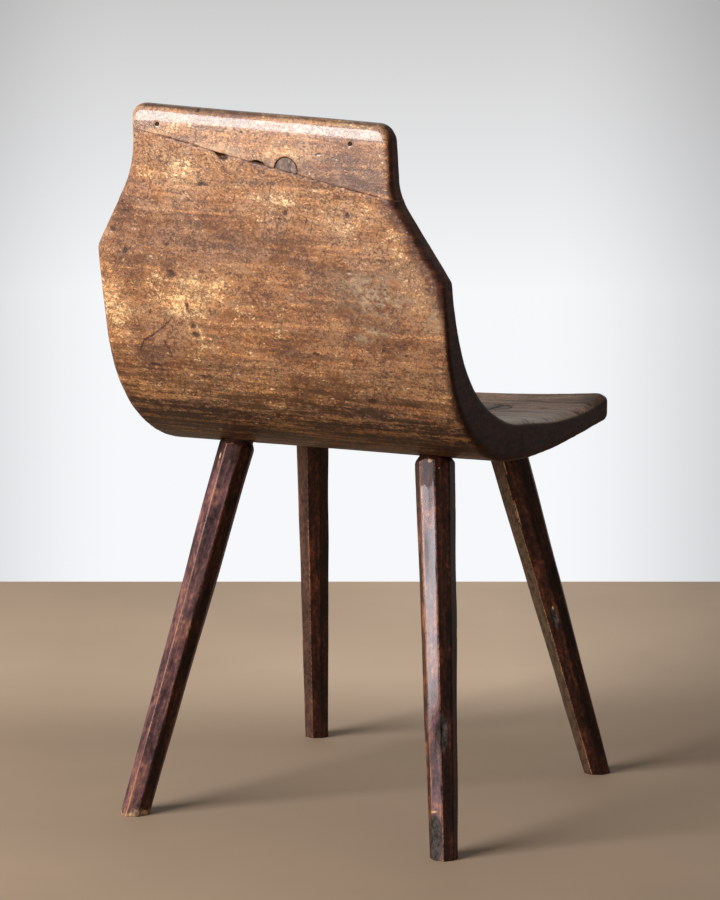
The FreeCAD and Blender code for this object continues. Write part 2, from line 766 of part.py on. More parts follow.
# A leg's section is an octagon cut by eye. Corners are shares of the leg's width, from its middle.
LEG_SECTION_SHARES = (
    (0.50, 0.19),
    (0.24, 0.49),
    (-0.19, 0.50),
    (-0.49, 0.22),
    (-0.50, -0.20),
    (-0.22, -0.49),
    (0.21, -0.50),
    (0.49, -0.23),
)


def draw_leg_section(body, label, corner, width, lift):
    sketch = new_sketch(body, label, "XY_Plane")
    turn = f"rotation(vector(0; 0; 1); Sizes.leg_turn_angle_{corner} * 1 deg)"
    sketch.setExpression("AttachmentOffset", f"placement(vector(0; 0; {lift}); {turn})")
    corners = [(f"{across} * {width}", f"{up} * {width}", None) for across, up in LEG_SECTION_SHARES]
    draw_outline(sketch, corners)
    return sketch


def draw_wedge(sketch, top, bottom):
    """The side view of a wedge or its kerf, narrowing downwards from the end of the tenon."""
    over = "Sizes.cut_overrun"
    flare = f"{over} * (Sizes.wedge_thickness - Sizes.wedge_tip_thickness) / Sizes.wedge_length / 2"
    draw_outline(
        sketch,
        [
            ("-Sizes.wedge_tip_thickness / 2", bottom, None),
            ("Sizes.wedge_tip_thickness / 2", bottom, None),
            (f"Sizes.wedge_thickness / 2 + {flare}", f"{top} + {over}", None),
            (f"-Sizes.wedge_thickness / 2 - {flare}", f"{top} + {over}", None),
        ],
    )


for corner in LEGS:
    leg = new_body(f"leg_{corner}")
    length = leg_length(corner)
    neck = leg_neck(corner)
    width = f"Sizes.leg_width_{corner}"
    foot_width = f"Sizes.foot_width_{corner}"
    foot_section = draw_leg_section(leg, "foot_section", corner, foot_width, "-Sizes.cut_overrun")
    top_section = draw_leg_section(leg, "top_section", corner, width, neck)
    shaft = add_feature(leg, "PartDesign::AdditiveLoft", "shaft", foot_section)
    shaft.Sections = [top_section]
    doc.recompute()

    shoulder = new_sketch(leg, "shoulder_outline", "XZ_Plane")
    full = f"Sizes.shoulder_width_share * {width}"
    draw_outline(
        shoulder,
        [
            ("Sizes.tenon_radius", neck, None),
            (full, f"{neck} - Sizes.shoulder_length", None),
            (width, f"{neck} - Sizes.shoulder_length", None),
            (width, f"{neck} + Sizes.cut_overrun", None),
            ("Sizes.tenon_radius", f"{neck} + Sizes.cut_overrun", None),
        ],
    )
    groove = add_feature(leg, "PartDesign::Groove", "whittled_shoulder", shoulder)
    groove.ReferenceAxis = (shoulder, ["V_Axis"])
    doc.recompute()

    circle = new_sketch(leg, "tenon_circle", "XY_Plane")
    circle.setExpression("AttachmentOffset.Base.z", neck)
    draw_circle(circle, "Sizes.tenon_radius")
    tenon = add_feature(leg, "PartDesign::Pad", "tenon", circle)
    tenon.setExpression("Length", f"Sizes.seat_depth_{corner} + Sizes.cut_overrun")
    doc.recompute()

    slope = f"Sizes.seat_rise_angle_{corner}"
    saw_off(leg, "foot_trim", corner, "0", "0", "above")
    saw_off(leg, "tenon_trim", corner, f"{length} + Sizes.tenon_proud", slope, "below")

    kerf_outline = new_sketch(leg, "kerf_outline", "XZ_Plane")
    draw_wedge(kerf_outline, length, f"{length} - Sizes.wedge_length")
    cut_through(leg, "kerf", kerf_outline)
    place_by(leg, leg_frame(corner))

    wedge = new_body(f"tenon_wedge_{corner}")
    outline = new_sketch(wedge, "wedge_outline", "XZ_Plane")
    draw_wedge(outline, length, f"{length} - Sizes.wedge_length")
    pad = add_feature(wedge, "PartDesign::Pad", "split_wedge", outline)
    pad.SideType = "Symmetric"
    pad.setExpression("Length", "2 * (Sizes.tenon_radius - Sizes.fit)")
    doc.recompute()
    saw_off(wedge, "wedge_trim", corner, f"{length} + Sizes.tenon_proud", slope, "below")
    place_by(wedge, leg_frame(corner))

doc.recompute()
os.makedirs("parts", exist_ok=True)
bodies = [thing for thing in doc.Objects if thing.TypeId == "PartDesign::Body" and thing != crook]
for thing in doc.Objects:
    if "Invalid" in thing.State or "Error" in thing.State:
        raise ValueError(f"{thing.Label} failed: {thing.State}")
for body in bodies:
    if body.Shape.isNull() or not body.Shape.isValid() or len(body.Shape.Solids) != 1:
        raise ValueError(f"{body.Label} is not one sound solid")
for body in bodies:
    body.Shape.exportStep(f"parts/{body.Label}.step")
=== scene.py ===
import math

import bpy
import numpy as np
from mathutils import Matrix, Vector, noise


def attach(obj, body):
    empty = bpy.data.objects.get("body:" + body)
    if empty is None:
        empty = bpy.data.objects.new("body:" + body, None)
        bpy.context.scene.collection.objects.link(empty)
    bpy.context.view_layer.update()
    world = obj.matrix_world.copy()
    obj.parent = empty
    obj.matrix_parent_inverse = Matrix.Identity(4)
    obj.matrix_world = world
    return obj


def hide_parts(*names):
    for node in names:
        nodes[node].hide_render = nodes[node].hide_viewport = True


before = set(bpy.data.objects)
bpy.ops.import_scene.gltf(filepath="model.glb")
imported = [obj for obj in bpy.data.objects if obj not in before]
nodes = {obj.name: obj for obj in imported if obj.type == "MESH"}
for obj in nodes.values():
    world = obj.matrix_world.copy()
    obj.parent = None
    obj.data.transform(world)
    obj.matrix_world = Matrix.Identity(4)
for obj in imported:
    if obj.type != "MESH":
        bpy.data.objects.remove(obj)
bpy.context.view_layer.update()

# The seat and back are one crook of timber, hewn with its grain running from side to side. The back has
# worn to a waxed honey brown, the seat to a dull grey brown, and the sawn ends are nearly black.
# The surface keeps the waves of the adze, and knocks and checks from long use.

SHELL_GRID = 0.0019
HEWN_WAVE = 0.0006
HEWN_RIPPLE = 0.00022
RIM_NIBBLE = 0.0009
RIM_ROLL = 0.007
SEAM_LIFT = 0.0007
SEAM_WANDER = 0.0009
SEAM_TREMBLE = 0.0004
CRACK_DEPTH = 0.0010
TENON_RING_RADIUS = 0.0168
TENON_RING_WIDTH = 0.0014
SLICE = 0.004


def fine_mesh(node, grid, passes=1):
    """An even, fine mesh that lies on the surface of a CAD node, for working it further."""
    rough = bpy.data.objects.new(node + "_rough", nodes[node].data.copy())
    bpy.context.scene.collection.objects.link(rough)
    rough.modifiers.new("weld", "WELD").merge_threshold = 1e-5
    even = rough.modifiers.new("even", "REMESH")
    even.mode = "VOXEL"
    even.voxel_size = grid
    rough.modifiers.new("even_out", "SMOOTH").iterations = 2
    rough.modifiers.new("snug", "SHRINKWRAP").target = nodes[node]
    rough.modifiers.new("soften", "SMOOTH").iterations = passes
    bpy.context.view_layer.update()
    mesh = bpy.data.meshes.new_from_object(rough.evaluated_get(bpy.context.evaluated_depsgraph_get()))
    bpy.data.objects.remove(rough)
    mesh.materials.clear()
    mesh.name = node
    return mesh


def points_of(mesh):
    """The places of a mesh's points, one to a row."""
    flat = np.empty(len(mesh.vertices) * 3)
    mesh.vertices.foreach_get("co", flat)
    return flat.reshape(-1, 3)


def normals_of(mesh):
    """The outward direction at each point."""
    flat = np.empty(len(mesh.vertices) * 3)
    mesh.vertex_normals.foreach_get("vector", flat)
    return flat.reshape(-1, 3)


def move_points(mesh, points):
    """Move the points of a mesh, and keep them within the box of its CAD node."""
    box = points_of(nodes[mesh.name.split(".")[0]].data)
    mesh.vertices.foreach_set("co", np.clip(points, box.min(0), box.max(0)).ravel())
    mesh.update()


def waves(points, lengths, seed):
    """Smooth random waves between about -1 and 1, with their own length along each axis, in metres."""
    scaled = points / np.array(lengths) + seed
    return np.array([noise.noise(Vector(p)) for p in scaled])


def step(values, low, high):
    """Rises smoothly from 0 at low to 1 at high."""
    t = np.clip((values - low) / (high - low), 0, 1)
    return t * t * (3 - 2 * t)


def edge_ends(mesh):
    """The numbers of the points at both ends of each edge."""
    flat = np.empty(len(mesh.edges) * 2, dtype=np.int64)
    mesh.edges.foreach_get("vertices", flat)
    return flat.reshape(-1, 2).T


def soften(mesh, values, passes):
    """Spread values over the neighbours of each point."""
    a, b = edge_ends(mesh)
    count = np.bincount(a, minlength=len(values)) + np.bincount(b, minlength=len(values))
    for _ in range(passes):
        around = np.bincount(a, values[b], len(values)) + np.bincount(b, values[a], len(values))
        values = (values + around / count) / 2
    return values


def roundness(mesh, passes):
    """How strongly the surface bends outward at each point, in turns per metre or so."""
    a, b = edge_ends(mesh)
    points = points_of(mesh)
    normals = normals_of(mesh)
    way = points[a] - points[b]
    square = (way**2).sum(1) + 1e-12
    at_a = (way * normals[a]).sum(1) / square
    at_b = -(way * normals[b]).sum(1) / square
    total = np.bincount(a, at_a, len(points)) + np.bincount(b, at_b, len(points))
    count = np.bincount(a, minlength=len(points)) + np.bincount(b, minlength=len(points))
    return soften(mesh, total / count, passes)


def paint(mesh, **layers):
    """Keep values for each point, for the finish to read."""
    for name, values in layers.items():
        within = np.clip(values + np.zeros(len(mesh.vertices)), 0, 1)
        mesh.attributes.new(name, "FLOAT", "POINT").data.foreach_set("value", within)


def finish_piece(mesh, name, material, node):
    """Put a worked piece in the scene in place of its CAD node."""
    piece = bpy.data.objects.new(name, mesh)
    bpy.context.scene.collection.objects.link(piece)
    mesh.shade_smooth()
    mesh.materials.append(material)
    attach(piece, "root")
    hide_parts(node)


def seam_z(across):
    """The height of the seam between the crook and the crest board."""
    right, left = crest_low_right, crest_low_left
    return right[2] + (left[2] - right[2]) * (across - right[0]) / (left[0] - right[0])


crest_points = points_of(nodes["crest_board"].data)
crest_low_right = crest_points[np.argmin(crest_points[:, 2])]
on_left = crest_points[crest_points[:, 0] > crest_points[:, 0].max() - 0.02]
crest_low_left = on_left[np.argmin(on_left[:, 2])]


def wobble_seam(points):
    """Let the seam wander a little, alike in the crook and the crest board."""
    away = points[:, 2] - seam_z(points[:, 0])
    along = np.zeros_like(points)
    along[:, 0] = points[:, 0]
    shift = SEAM_WANDER * waves(along, (0.045, 1, 1), 3.7)
    shift += SEAM_TREMBLE * waves(along, (0.009, 1, 1), 8.1)
    points[:, 2] += shift * (1 - step(np.abs(away), 0.002, 0.02))


def dark_seam(points):
    """Dirt along the seam, less of it toward the right."""
    strength = np.interp(points[:, 0], (-0.14, -0.03, 0.07), (0.1, 0.25, 0.35))
    return strength * np.exp(-(((points[:, 2] - seam_z(points[:, 0])) / 0.0010) ** 2))


def hew(mesh, seed):
    """Adze waves and ripples, long with the grain, and nibbled rims."""
    points = points_of(mesh)
    normals = normals_of(mesh)
    off_seam = np.abs(points[:, 2] - seam_z(points[:, 0]))
    rim = step(roundness(mesh, 3), 18, 75) * step(off_seam, 0.003, 0.012)
    relief = HEWN_WAVE * waves(points, (0.16, 0.055, 0.055), seed)
    relief += HEWN_RIPPLE * waves(points, (0.06, 0.014, 0.014), seed + 11)
    relief *= step(off_seam, -0.004, 0.030)
    nibble = waves(points, (0.02, 0.012, 0.012), seed + 23)
    nibble += 0.6 * waves(points, (0.008, 0.005, 0.005), seed + 31)
    relief -= RIM_NIBBLE * rim * (0.15 + np.clip(nibble, 0, 1))
    move_points(mesh, points + normals * relief[:, None])
    return rim


def blotches(points):
    """Large soft blotches with smaller ones over them, alike in the crook and the crest board."""
    return waves(points, (0.035, 0.024, 0.024), 47.0) + 0.5 * waves(points, (0.014, 0.010, 0.010), 49.0)


def slice_edge(along, start, stop, values, outermost, chosen=slice(None)):
    """For each point, the outermost value in its own thin slice, of the chosen points or of all."""
    slices = np.digitize(along, np.arange(start, stop, SLICE))
    edge = np.full(slices.max() + 1, -np.inf if outermost is np.maximum else np.inf)
    outermost.at(edge, slices[chosen], values[chosen])
    return edge[slices]


def near(points, centre, spans):
    """1 at a place, falling softly to 0 round it."""
    return np.exp(-(((points - np.array(centre)) / np.array(spans)) ** 2).sum(1))


def on_back(points, across, up):
    """The place on the rear of the back at a distance across and a height."""
    close = (np.abs(points[:, 0] - across) < 0.006) & (np.abs(points[:, 2] - up) < 0.006)
    return (across, points[close, 1].max(), up)


# Knocks on the back: place across and up, then how wide, how high and how deep
BACK_KNOCKS = (
    (0.113, 0.589, 0.0048, 0.0034, 0.0011),
    (0.179, 0.632, 0.0028, 0.0020, 0.0007),
    (0.166, 0.610, 0.0040, 0.0030, 0.0006),
    (0.163, 0.652, 0.0050, 0.0012, 0.0005),
    (0.070, 0.686, 0.0065, 0.0015, 0.0005),
    (0.116, 0.620, 0.0045, 0.0015, 0.0006),
    (-0.026, 0.663, 0.0030, 0.0022, 0.0006),
    (-0.097, 0.665, 0.0030, 0.0022, 0.0006),
    (0.144, 0.547, 0.0024, 0.0024, 0.0007),
    (0.094, 0.534, 0.0030, 0.0028, 0.0008),
    (0.092, 0.525, 0.0046, 0.0022, 0.0009),
    (0.088, 0.479, 0.0065, 0.0015, 0.0007),
    (0.146, 0.488, 0.0060, 0.0014, 0.0005),
    (0.098, 0.556, 0.0014, 0.0070, 0.0005),
    (-0.048, 0.516, 0.0030, 0.0020, 0.0006),
    (-0.127, 0.526, 0.0022, 0.0022, 0.0005),
    (-0.103, 0.468, 0.0055, 0.0030, 0.0007),
    # The last is the half hole just under the seam, and the dark painted in it is painted shadow
    (0.042, 0.7148, 0.0052, 0.0022, 0.0026),
)
# A long curved scratch and a short crooked one, through places across and up
BACK_SCRATCHES = (
    ((0.160, 0.506), (0.157, 0.513), (0.150, 0.518), (0.141, 0.523), (0.130, 0.531), (0.118, 0.542)),
    ((0.131, 0.516), (0.129, 0.510), (0.126, 0.507), (0.125, 0.499)),
)
# A knock and two cracks on the seat, through places across and along
SEAT_CRACKS = (
    ((-0.1530, -0.117), (-0.1590, -0.119)),
    ((0.020, -0.060), (-0.030, -0.064), (-0.075, -0.058)),
    ((-0.160, -0.040), (-0.120, -0.034), (-0.090, -0.037)),
)

shell_mesh = fine_mesh("seat_back_shell", SHELL_GRID)
shell_rim = hew(shell_mesh, 5.3)
shell_points = points_of(shell_mesh)
shell_normals = normals_of(shell_mesh)
marks = np.zeros(len(shell_points))
bent = waves(shell_points, (0.006, 0.006, 0.006), 71.0)[:, None] * (0.0028, 0, 0.0020)
for across, up, wide, high, depth in BACK_KNOCKS:
    knock = near(shell_points + bent, on_back(shell_points, across, up), (wide, 0.012, high))
    shell_points -= shell_normals * (depth * knock)[:, None]
    marks = np.maximum(marks, knock)
for track in BACK_SCRATCHES:
    for (x0, z0), (x1, z1) in zip(track, track[1:]):
        for share in np.linspace(0, 1, 8):
            spot = on_back(shell_points, x0 + share * (x1 - x0), z0 + share * (z1 - z0))
            marks = np.maximum(marks, 0.75 * near(shell_points, spot, (0.0013, 0.012, 0.0013)))
facing_up = step(shell_normals[:, 2], 0.5, 0.8)
for track in SEAT_CRACKS:
    for (x0, y0), (x1, y1) in zip(track, track[1:]):
        for share in np.linspace(0, 1, 24):
            spot = (x0 + share * (x1 - x0), y0 + share * (y1 - y0), 0.425)
            marks = np.maximum(marks, near(shell_points, spot, (0.0017, 0.0015, 0.02)) * facing_up)
CORNERS = ("front_left", "front_right", "rear_left", "rear_right")
for corner in CORNERS:
    leg_points = points_of(nodes[f"leg_{corner}"].data)
    tenon_end = leg_points[leg_points[:, 2] > leg_points[:, 2].max() - 0.0045]
    middle = (tenon_end.min(0) + tenon_end.max(0)) / 2
    radius = np.hypot(shell_points[:, 0] - middle[0], shell_points[:, 1] - middle[1])
    ring = np.exp(-(((radius - TENON_RING_RADIUS) / TENON_RING_WIDTH) ** 2)) * facing_up
    marks = np.maximum(marks, ring * (np.abs(shell_points[:, 2] - middle[2]) < 0.01))
shell_points[:, 2] -= CRACK_DEPTH * marks * facing_up

# The right rim of the seat is rubbed round
x, y, z = shell_points.T
at_rim = (x < -0.175) & (shell_normals[:, 2] > -0.3)
rim_top = slice_edge(y, -0.25, 0.25, z, np.maximum, at_rim)
rim_side = slice_edge(y, -0.25, 0.25, x, np.minimum, at_rim)
drop = np.clip(soften(shell_mesh, rim_top - z, 6), 0, RIM_ROLL)
inside = soften(shell_mesh, x - rim_side, 6)
beside_seat = step(-y, -0.095, -0.020) * step(y, -0.215, -0.165) * (z < 0.47)
rolled = beside_seat * (1 - step(inside, 0.003, 0.016))
shell_points[:, 0] += rolled * (RIM_ROLL - drop) ** 2 / (2 * RIM_ROLL)
shell_points[:, 2] -= 0.12 * RIM_ROLL * rolled * (1 - drop / RIM_ROLL)
rim_face = beside_seat * (1 - step(drop / RIM_ROLL, 0.45, 0.95))
marks = np.maximum(marks, dark_seam(shell_points))
wobble_seam(shell_points)
off_seam = np.abs(shell_points[:, 2] - seam_z(shell_points[:, 0]))
shell_points[:, 2] += SEAM_LIFT * (1 - step(off_seam, 0.001, 0.004))
move_points(shell_mesh, shell_points)

# Where the rear of the back has worn pale or gone dark: across, up, how wide, how high, and by how much
BACK_PATCHES = (
    (0.182, 0.550, 0.016, 0.045, 0.34),
    (0.103, 0.563, 0.040, 0.018, 0.30),
    (0.050, 0.580, 0.050, 0.014, 0.16),
    (-0.050, 0.672, 0.090, 0.022, 0.14),
    (-0.120, 0.640, 0.050, 0.030, 0.10),
    (-0.172, 0.600, 0.024, 0.050, 0.14),
    # The next pale patch, just under the seam at the left, is a painted sheen
    (0.110, 0.700, 0.050, 0.016, 0.20),
    (0.150, 0.462, 0.040, 0.010, 0.25),
    (0.075, 0.640, 0.055, 0.030, -0.18),
    (0.010, 0.622, 0.050, 0.020, -0.16),
    (0.165, 0.660, 0.022, 0.040, -0.22),
    (0.160, 0.610, 0.030, 0.020, -0.18),
    (0.150, 0.500, 0.036, 0.026, -0.24),
    (-0.100, 0.585, 0.060, 0.040, -0.20),
    (-0.060, 0.520, 0.060, 0.020, -0.12),
    (-0.150, 0.530, 0.040, 0.020, -0.10),
    (-0.115, 0.453, 0.050, 0.006, -0.60),
    (-0.040, 0.446, 0.060, 0.005, -0.35),
    (0.120, 0.440, 0.060, 0.006, -0.35),
)
# Grey green stains: across, up, how wide and how high
BACK_STAINS = (
    (-0.126, 0.582, 0.036, 0.020),
    (-0.120, 0.543, 0.012, 0.006),
    (-0.188, 0.563, 0.008, 0.010),
    (0.087, 0.714, 0.007, 0.003),
)
# Heights on the back, and its brightness at each: darker low down, partly dirt and partly painted shade
BACK_HEIGHTS = (0.40, 0.42, 0.45, 0.49, 0.56, 0.65, 0.70)
BACK_SHADES = (0.02, 0.12, 0.74, 0.69, 0.80, 0.86, 0.94)

shell_points = points_of(shell_mesh)
shell_normals = normals_of(shell_mesh)
x, y, z = shell_points.T
ragged = waves(shell_points, (0.05, 0.02, 0.02), 41.0)
blotchy = blotches(shell_points)
warped = shell_points + 0.012 * np.stack((blotchy, 0 * blotchy, ragged), 1)
warped[:, 1] = 0
tone = np.full(len(x), 0.5)
for across, up, wide, high, amount in BACK_PATCHES:
    tone += amount * near(warped, (across, 0, up), (wide, 1, high))
stain = np.zeros(len(x))
for across, up, wide, high in BACK_STAINS:
    stain = np.maximum(stain, near(warped, (across, 0, up), (wide, 1, high)))
facing_down = step(-shell_normals[:, 2], 0.05, 0.85)
low_back = 1 - step(z + 0.012 * ragged, 0.385, 0.475)
behind = step(shell_normals[:, 1], -0.2, 0.2)
on_seat = step(shell_normals[:, 2], 0.25, 0.75) * (1 - step(z, 0.46, 0.52))
turned_out = np.abs(shell_normals[:, 0]) + 0.06 * ragged - 0.14 * step(z, 0.5, 0.6)
right_edge = slice_edge(z, 0.3, 0.8, x, np.minimum)
from_edge = x - right_edge + 0.0035 * ragged + 0.003 * blotchy
right_side = step(-x, 0.150, 0.185)
on_shoulder = step(z, 0.545, 0.60) * step(shell_normals[:, 1], 0.3, 0.6)
on_end = np.maximum(step(turned_out, 0.45, 0.75), on_shoulder * (1 - step(from_edge, 0.0055, 0.0090)))
nibbled = waves(shell_points, (0.006, 0.005, 0.005), 51.0)
low_rim = (1 - step(z, 0.47, 0.53)) * step(np.maximum(shell_normals[:, 1], -shell_normals[:, 2]), 0.1, 0.4)
on_end = np.maximum(on_end, 0.85 * low_rim * (1 - step(from_edge + 0.005 * nibbled, 0.001, 0.009)))
tone -= 0.42 * on_shoulder * (1 - step(from_edge, 0.012, 0.024))
front_corner = step(-x, 0.160, 0.190) * step(-y, 0.125, 0.165)
inner = (1 - behind) * (1 - on_seat)
shade = np.interp(z + 0.006 * ragged, BACK_HEIGHTS, BACK_SHADES)
rubbed_rim = shell_rim * np.clip(step(z, 0.5, 0.6) + step(-shell_normals[:, 2], 0.2, 0.6), 0.2, 1)
# Darker under the bend, low on the back, on the inner faces and at the seat's front right corner: partly dirt
# and partly painted shade
dirt_and_shade = 0.60 * facing_down + 0.62 * low_back * behind + 0.35 * inner
dirt_and_shade = np.maximum(dirt_and_shade, 0.9 * front_corner * on_seat)
on_seat = np.maximum(on_seat, rim_face * right_side)
paint(
    shell_mesh,
    tone=tone + 0.10 * blotchy,
    stain=stain * behind,
    marks=marks,
    # Darker low on the back and on the inner faces: partly dirt and partly painted shade
    shade=shade * behind + 0.45 * (1 - behind),
    grime=dirt_and_shade,
    seat=on_seat * (1 - 0.7 * front_corner),
    # A painted pale sheen on the seat toward its right rim
    dust=step(-x, 0.120, 0.165) * (1 - front_corner) * step(y, -0.15, -0.02) * on_seat,
    ends=on_end * (1 - rim_face * right_side),
    # The upper back, which is given a painted sheen, and where the sawn ends are redder
    high=step(z, 0.5, 0.66),
    wear=rubbed_rim,
)


def grow(tree, kind, settings, inputs):
    """Add a node to a finish, with its settings and with values or other nodes at its inputs."""
    made = tree.nodes.new("ShaderNode" + kind)
    for name, value in settings.items():
        setattr(made, name, value)
    for name, value in inputs.items():
        if isinstance(value, bpy.types.NodeSocket):
            tree.links.new(value, made.inputs[name])
        else:
            made.inputs[name].default_value = value
    return made


def stretched(tree, place, scale, turn=(0, 0, 0)):
    """A place in the wood, scaled by its own number along each axis."""
    return grow(tree, "Mapping", {}, {"Vector": place, "Scale": scale, "Rotation": turn}).outputs["Vector"]


def cloud(tree, place, scale, detail=4.0, roughness=0.55, distortion=0.0):
    """Soft random patches between 0 and 1, stretched by a scale along each axis."""
    inputs = {"Vector": stretched(tree, place, scale), "Scale": 1.0, "Detail": detail}
    inputs.update({"Roughness": roughness, "Distortion": distortion})
    return grow(tree, "TexNoise", {}, inputs).outputs["Fac"]


def between(tree, value, low, high, to_low=0.0, to_high=1.0):
    """Rises smoothly from one level to another while a value goes from low to high."""
    inputs = {"Value": value, "From Min": low, "From Max": high, "To Min": to_low, "To Max": to_high}
    return grow(tree, "MapRange", {"interpolation_type": "SMOOTHSTEP"}, inputs).outputs["Result"]


def sums(tree, how, first, second=0.0):
    """One step of arithmetic on one or two values."""
    return grow(tree, "Math", {"operation": how}, {0: first, 1: second}).outputs[0]


def weigh(tree, *pairs):
    """Values added up, each by its own weight."""
    total = 0.0
    for value, weight in pairs:
        total = grow(tree, "Math", {"operation": "MULTIPLY_ADD"}, {0: value, 1: weight, 2: total}).outputs[0]
    return total


def blend(tree, share, first, second, how="MIX"):
    """Two colours mixed by a share."""
    settings = {"data_type": "RGBA", "blend_type": how}
    return grow(tree, "Mix", settings, {0: share, 6: first, 7: second}).outputs[2]


def lay(tree, share, strength, under, over):
    """A colour laid over another where a share is high, up to a strength."""
    return blend(tree, sums(tree, "MULTIPLY", share, strength), under, over)


def shaded(tree, colour, value):
    """A colour made lighter or darker by a value."""
    grey = grow(tree, "CombineColor", {}, {0: value, 1: value, 2: value}).outputs[0]
    return blend(tree, 1.0, colour, grey, "MULTIPLY")


def tones(tree, value, stops):
    """A run of colours along a value."""
    ramp = grow(tree, "ValToRGB", {}, {"Fac": value})
    ramp.color_ramp.elements[0].position = stops[0][0]
    ramp.color_ramp.elements[0].color = (*stops[0][1], 1)
    ramp.color_ramp.elements[1].position = stops[-1][0]
    ramp.color_ramp.elements[1].color = (*stops[-1][1], 1)
    for position, colour in stops[1:-1]:
        ramp.color_ramp.elements.new(position).color = (*colour, 1)
    return ramp.outputs["Color"]


def painted(tree, name):
    """The values kept for each point under a name."""
    return grow(tree, "Attribute", {"attribute_name": name}, {}).outputs["Fac"]


def place_in_piece(tree):
    """The place of a spot on a piece, in metres."""
    return grow(tree, "TexCoord", {}, {}).outputs["Object"]


def share_of(tree, value, low, high):
    """Rises straight from 0 at low to 1 at high."""
    return grow(tree, "MapRange", {}, {"Value": value, "From Min": low, "From Max": high}).outputs["Result"]


def crazing(tree, place, scale, width):
    """Thin wandering dark lines, like crazed wax and old scratches."""
    cells = stretched(tree, place, scale)
    bend = grow(tree, "TexNoise", {}, {"Vector": cells, "Scale": 1.1, "Detail": 4.0}).outputs["Color"]
    moved = grow(tree, "VectorMath", {"operation": "MULTIPLY_ADD"}, {0: bend, 1: (2.4, 2.4, 2.4), 2: cells})
    inputs = {"Vector": moved.outputs[0], "Scale": 1.0}
    to_line = grow(tree, "TexVoronoi", {"feature": "DISTANCE_TO_EDGE"}, inputs).outputs["Distance"]
    return between(tree, to_line, 0.0, width, 1.0, 0.0)


def scratches(tree, place, turn, rare):
    """Fine straight scratches at a slant over the face of the back."""
    slanted = stretched(tree, place, (1, 1, 1), (0, turn, 0))
    return between(tree, cloud(tree, slanted, (48, 80, 800), 2.0, 0.5), rare, rare + 0.04)


def new_finish(name):
    """A material with nothing in it yet, and its nodes."""
    material = bpy.data.materials.new(name)
    material.use_nodes = True
    material.node_tree.nodes.clear()
    return material, material.node_tree


def surface(tree, colour, roughness, height, depth, strength=0.6):
    """The last steps of each finish: relief finer than the mesh, and the surface."""
    bump = grow(tree, "Bump", {}, {"Height": height, "Distance": depth, "Strength": strength})
    inputs = {"Base Color": colour, "Roughness": roughness, "Normal": bump.outputs["Normal"]}
    coat = grow(tree, "BsdfPrincipled", {}, inputs)
    output = tree.nodes.new("ShaderNodeOutputMaterial")
    tree.links.new(coat.outputs["BSDF"], output.inputs["Surface"])
    return coat


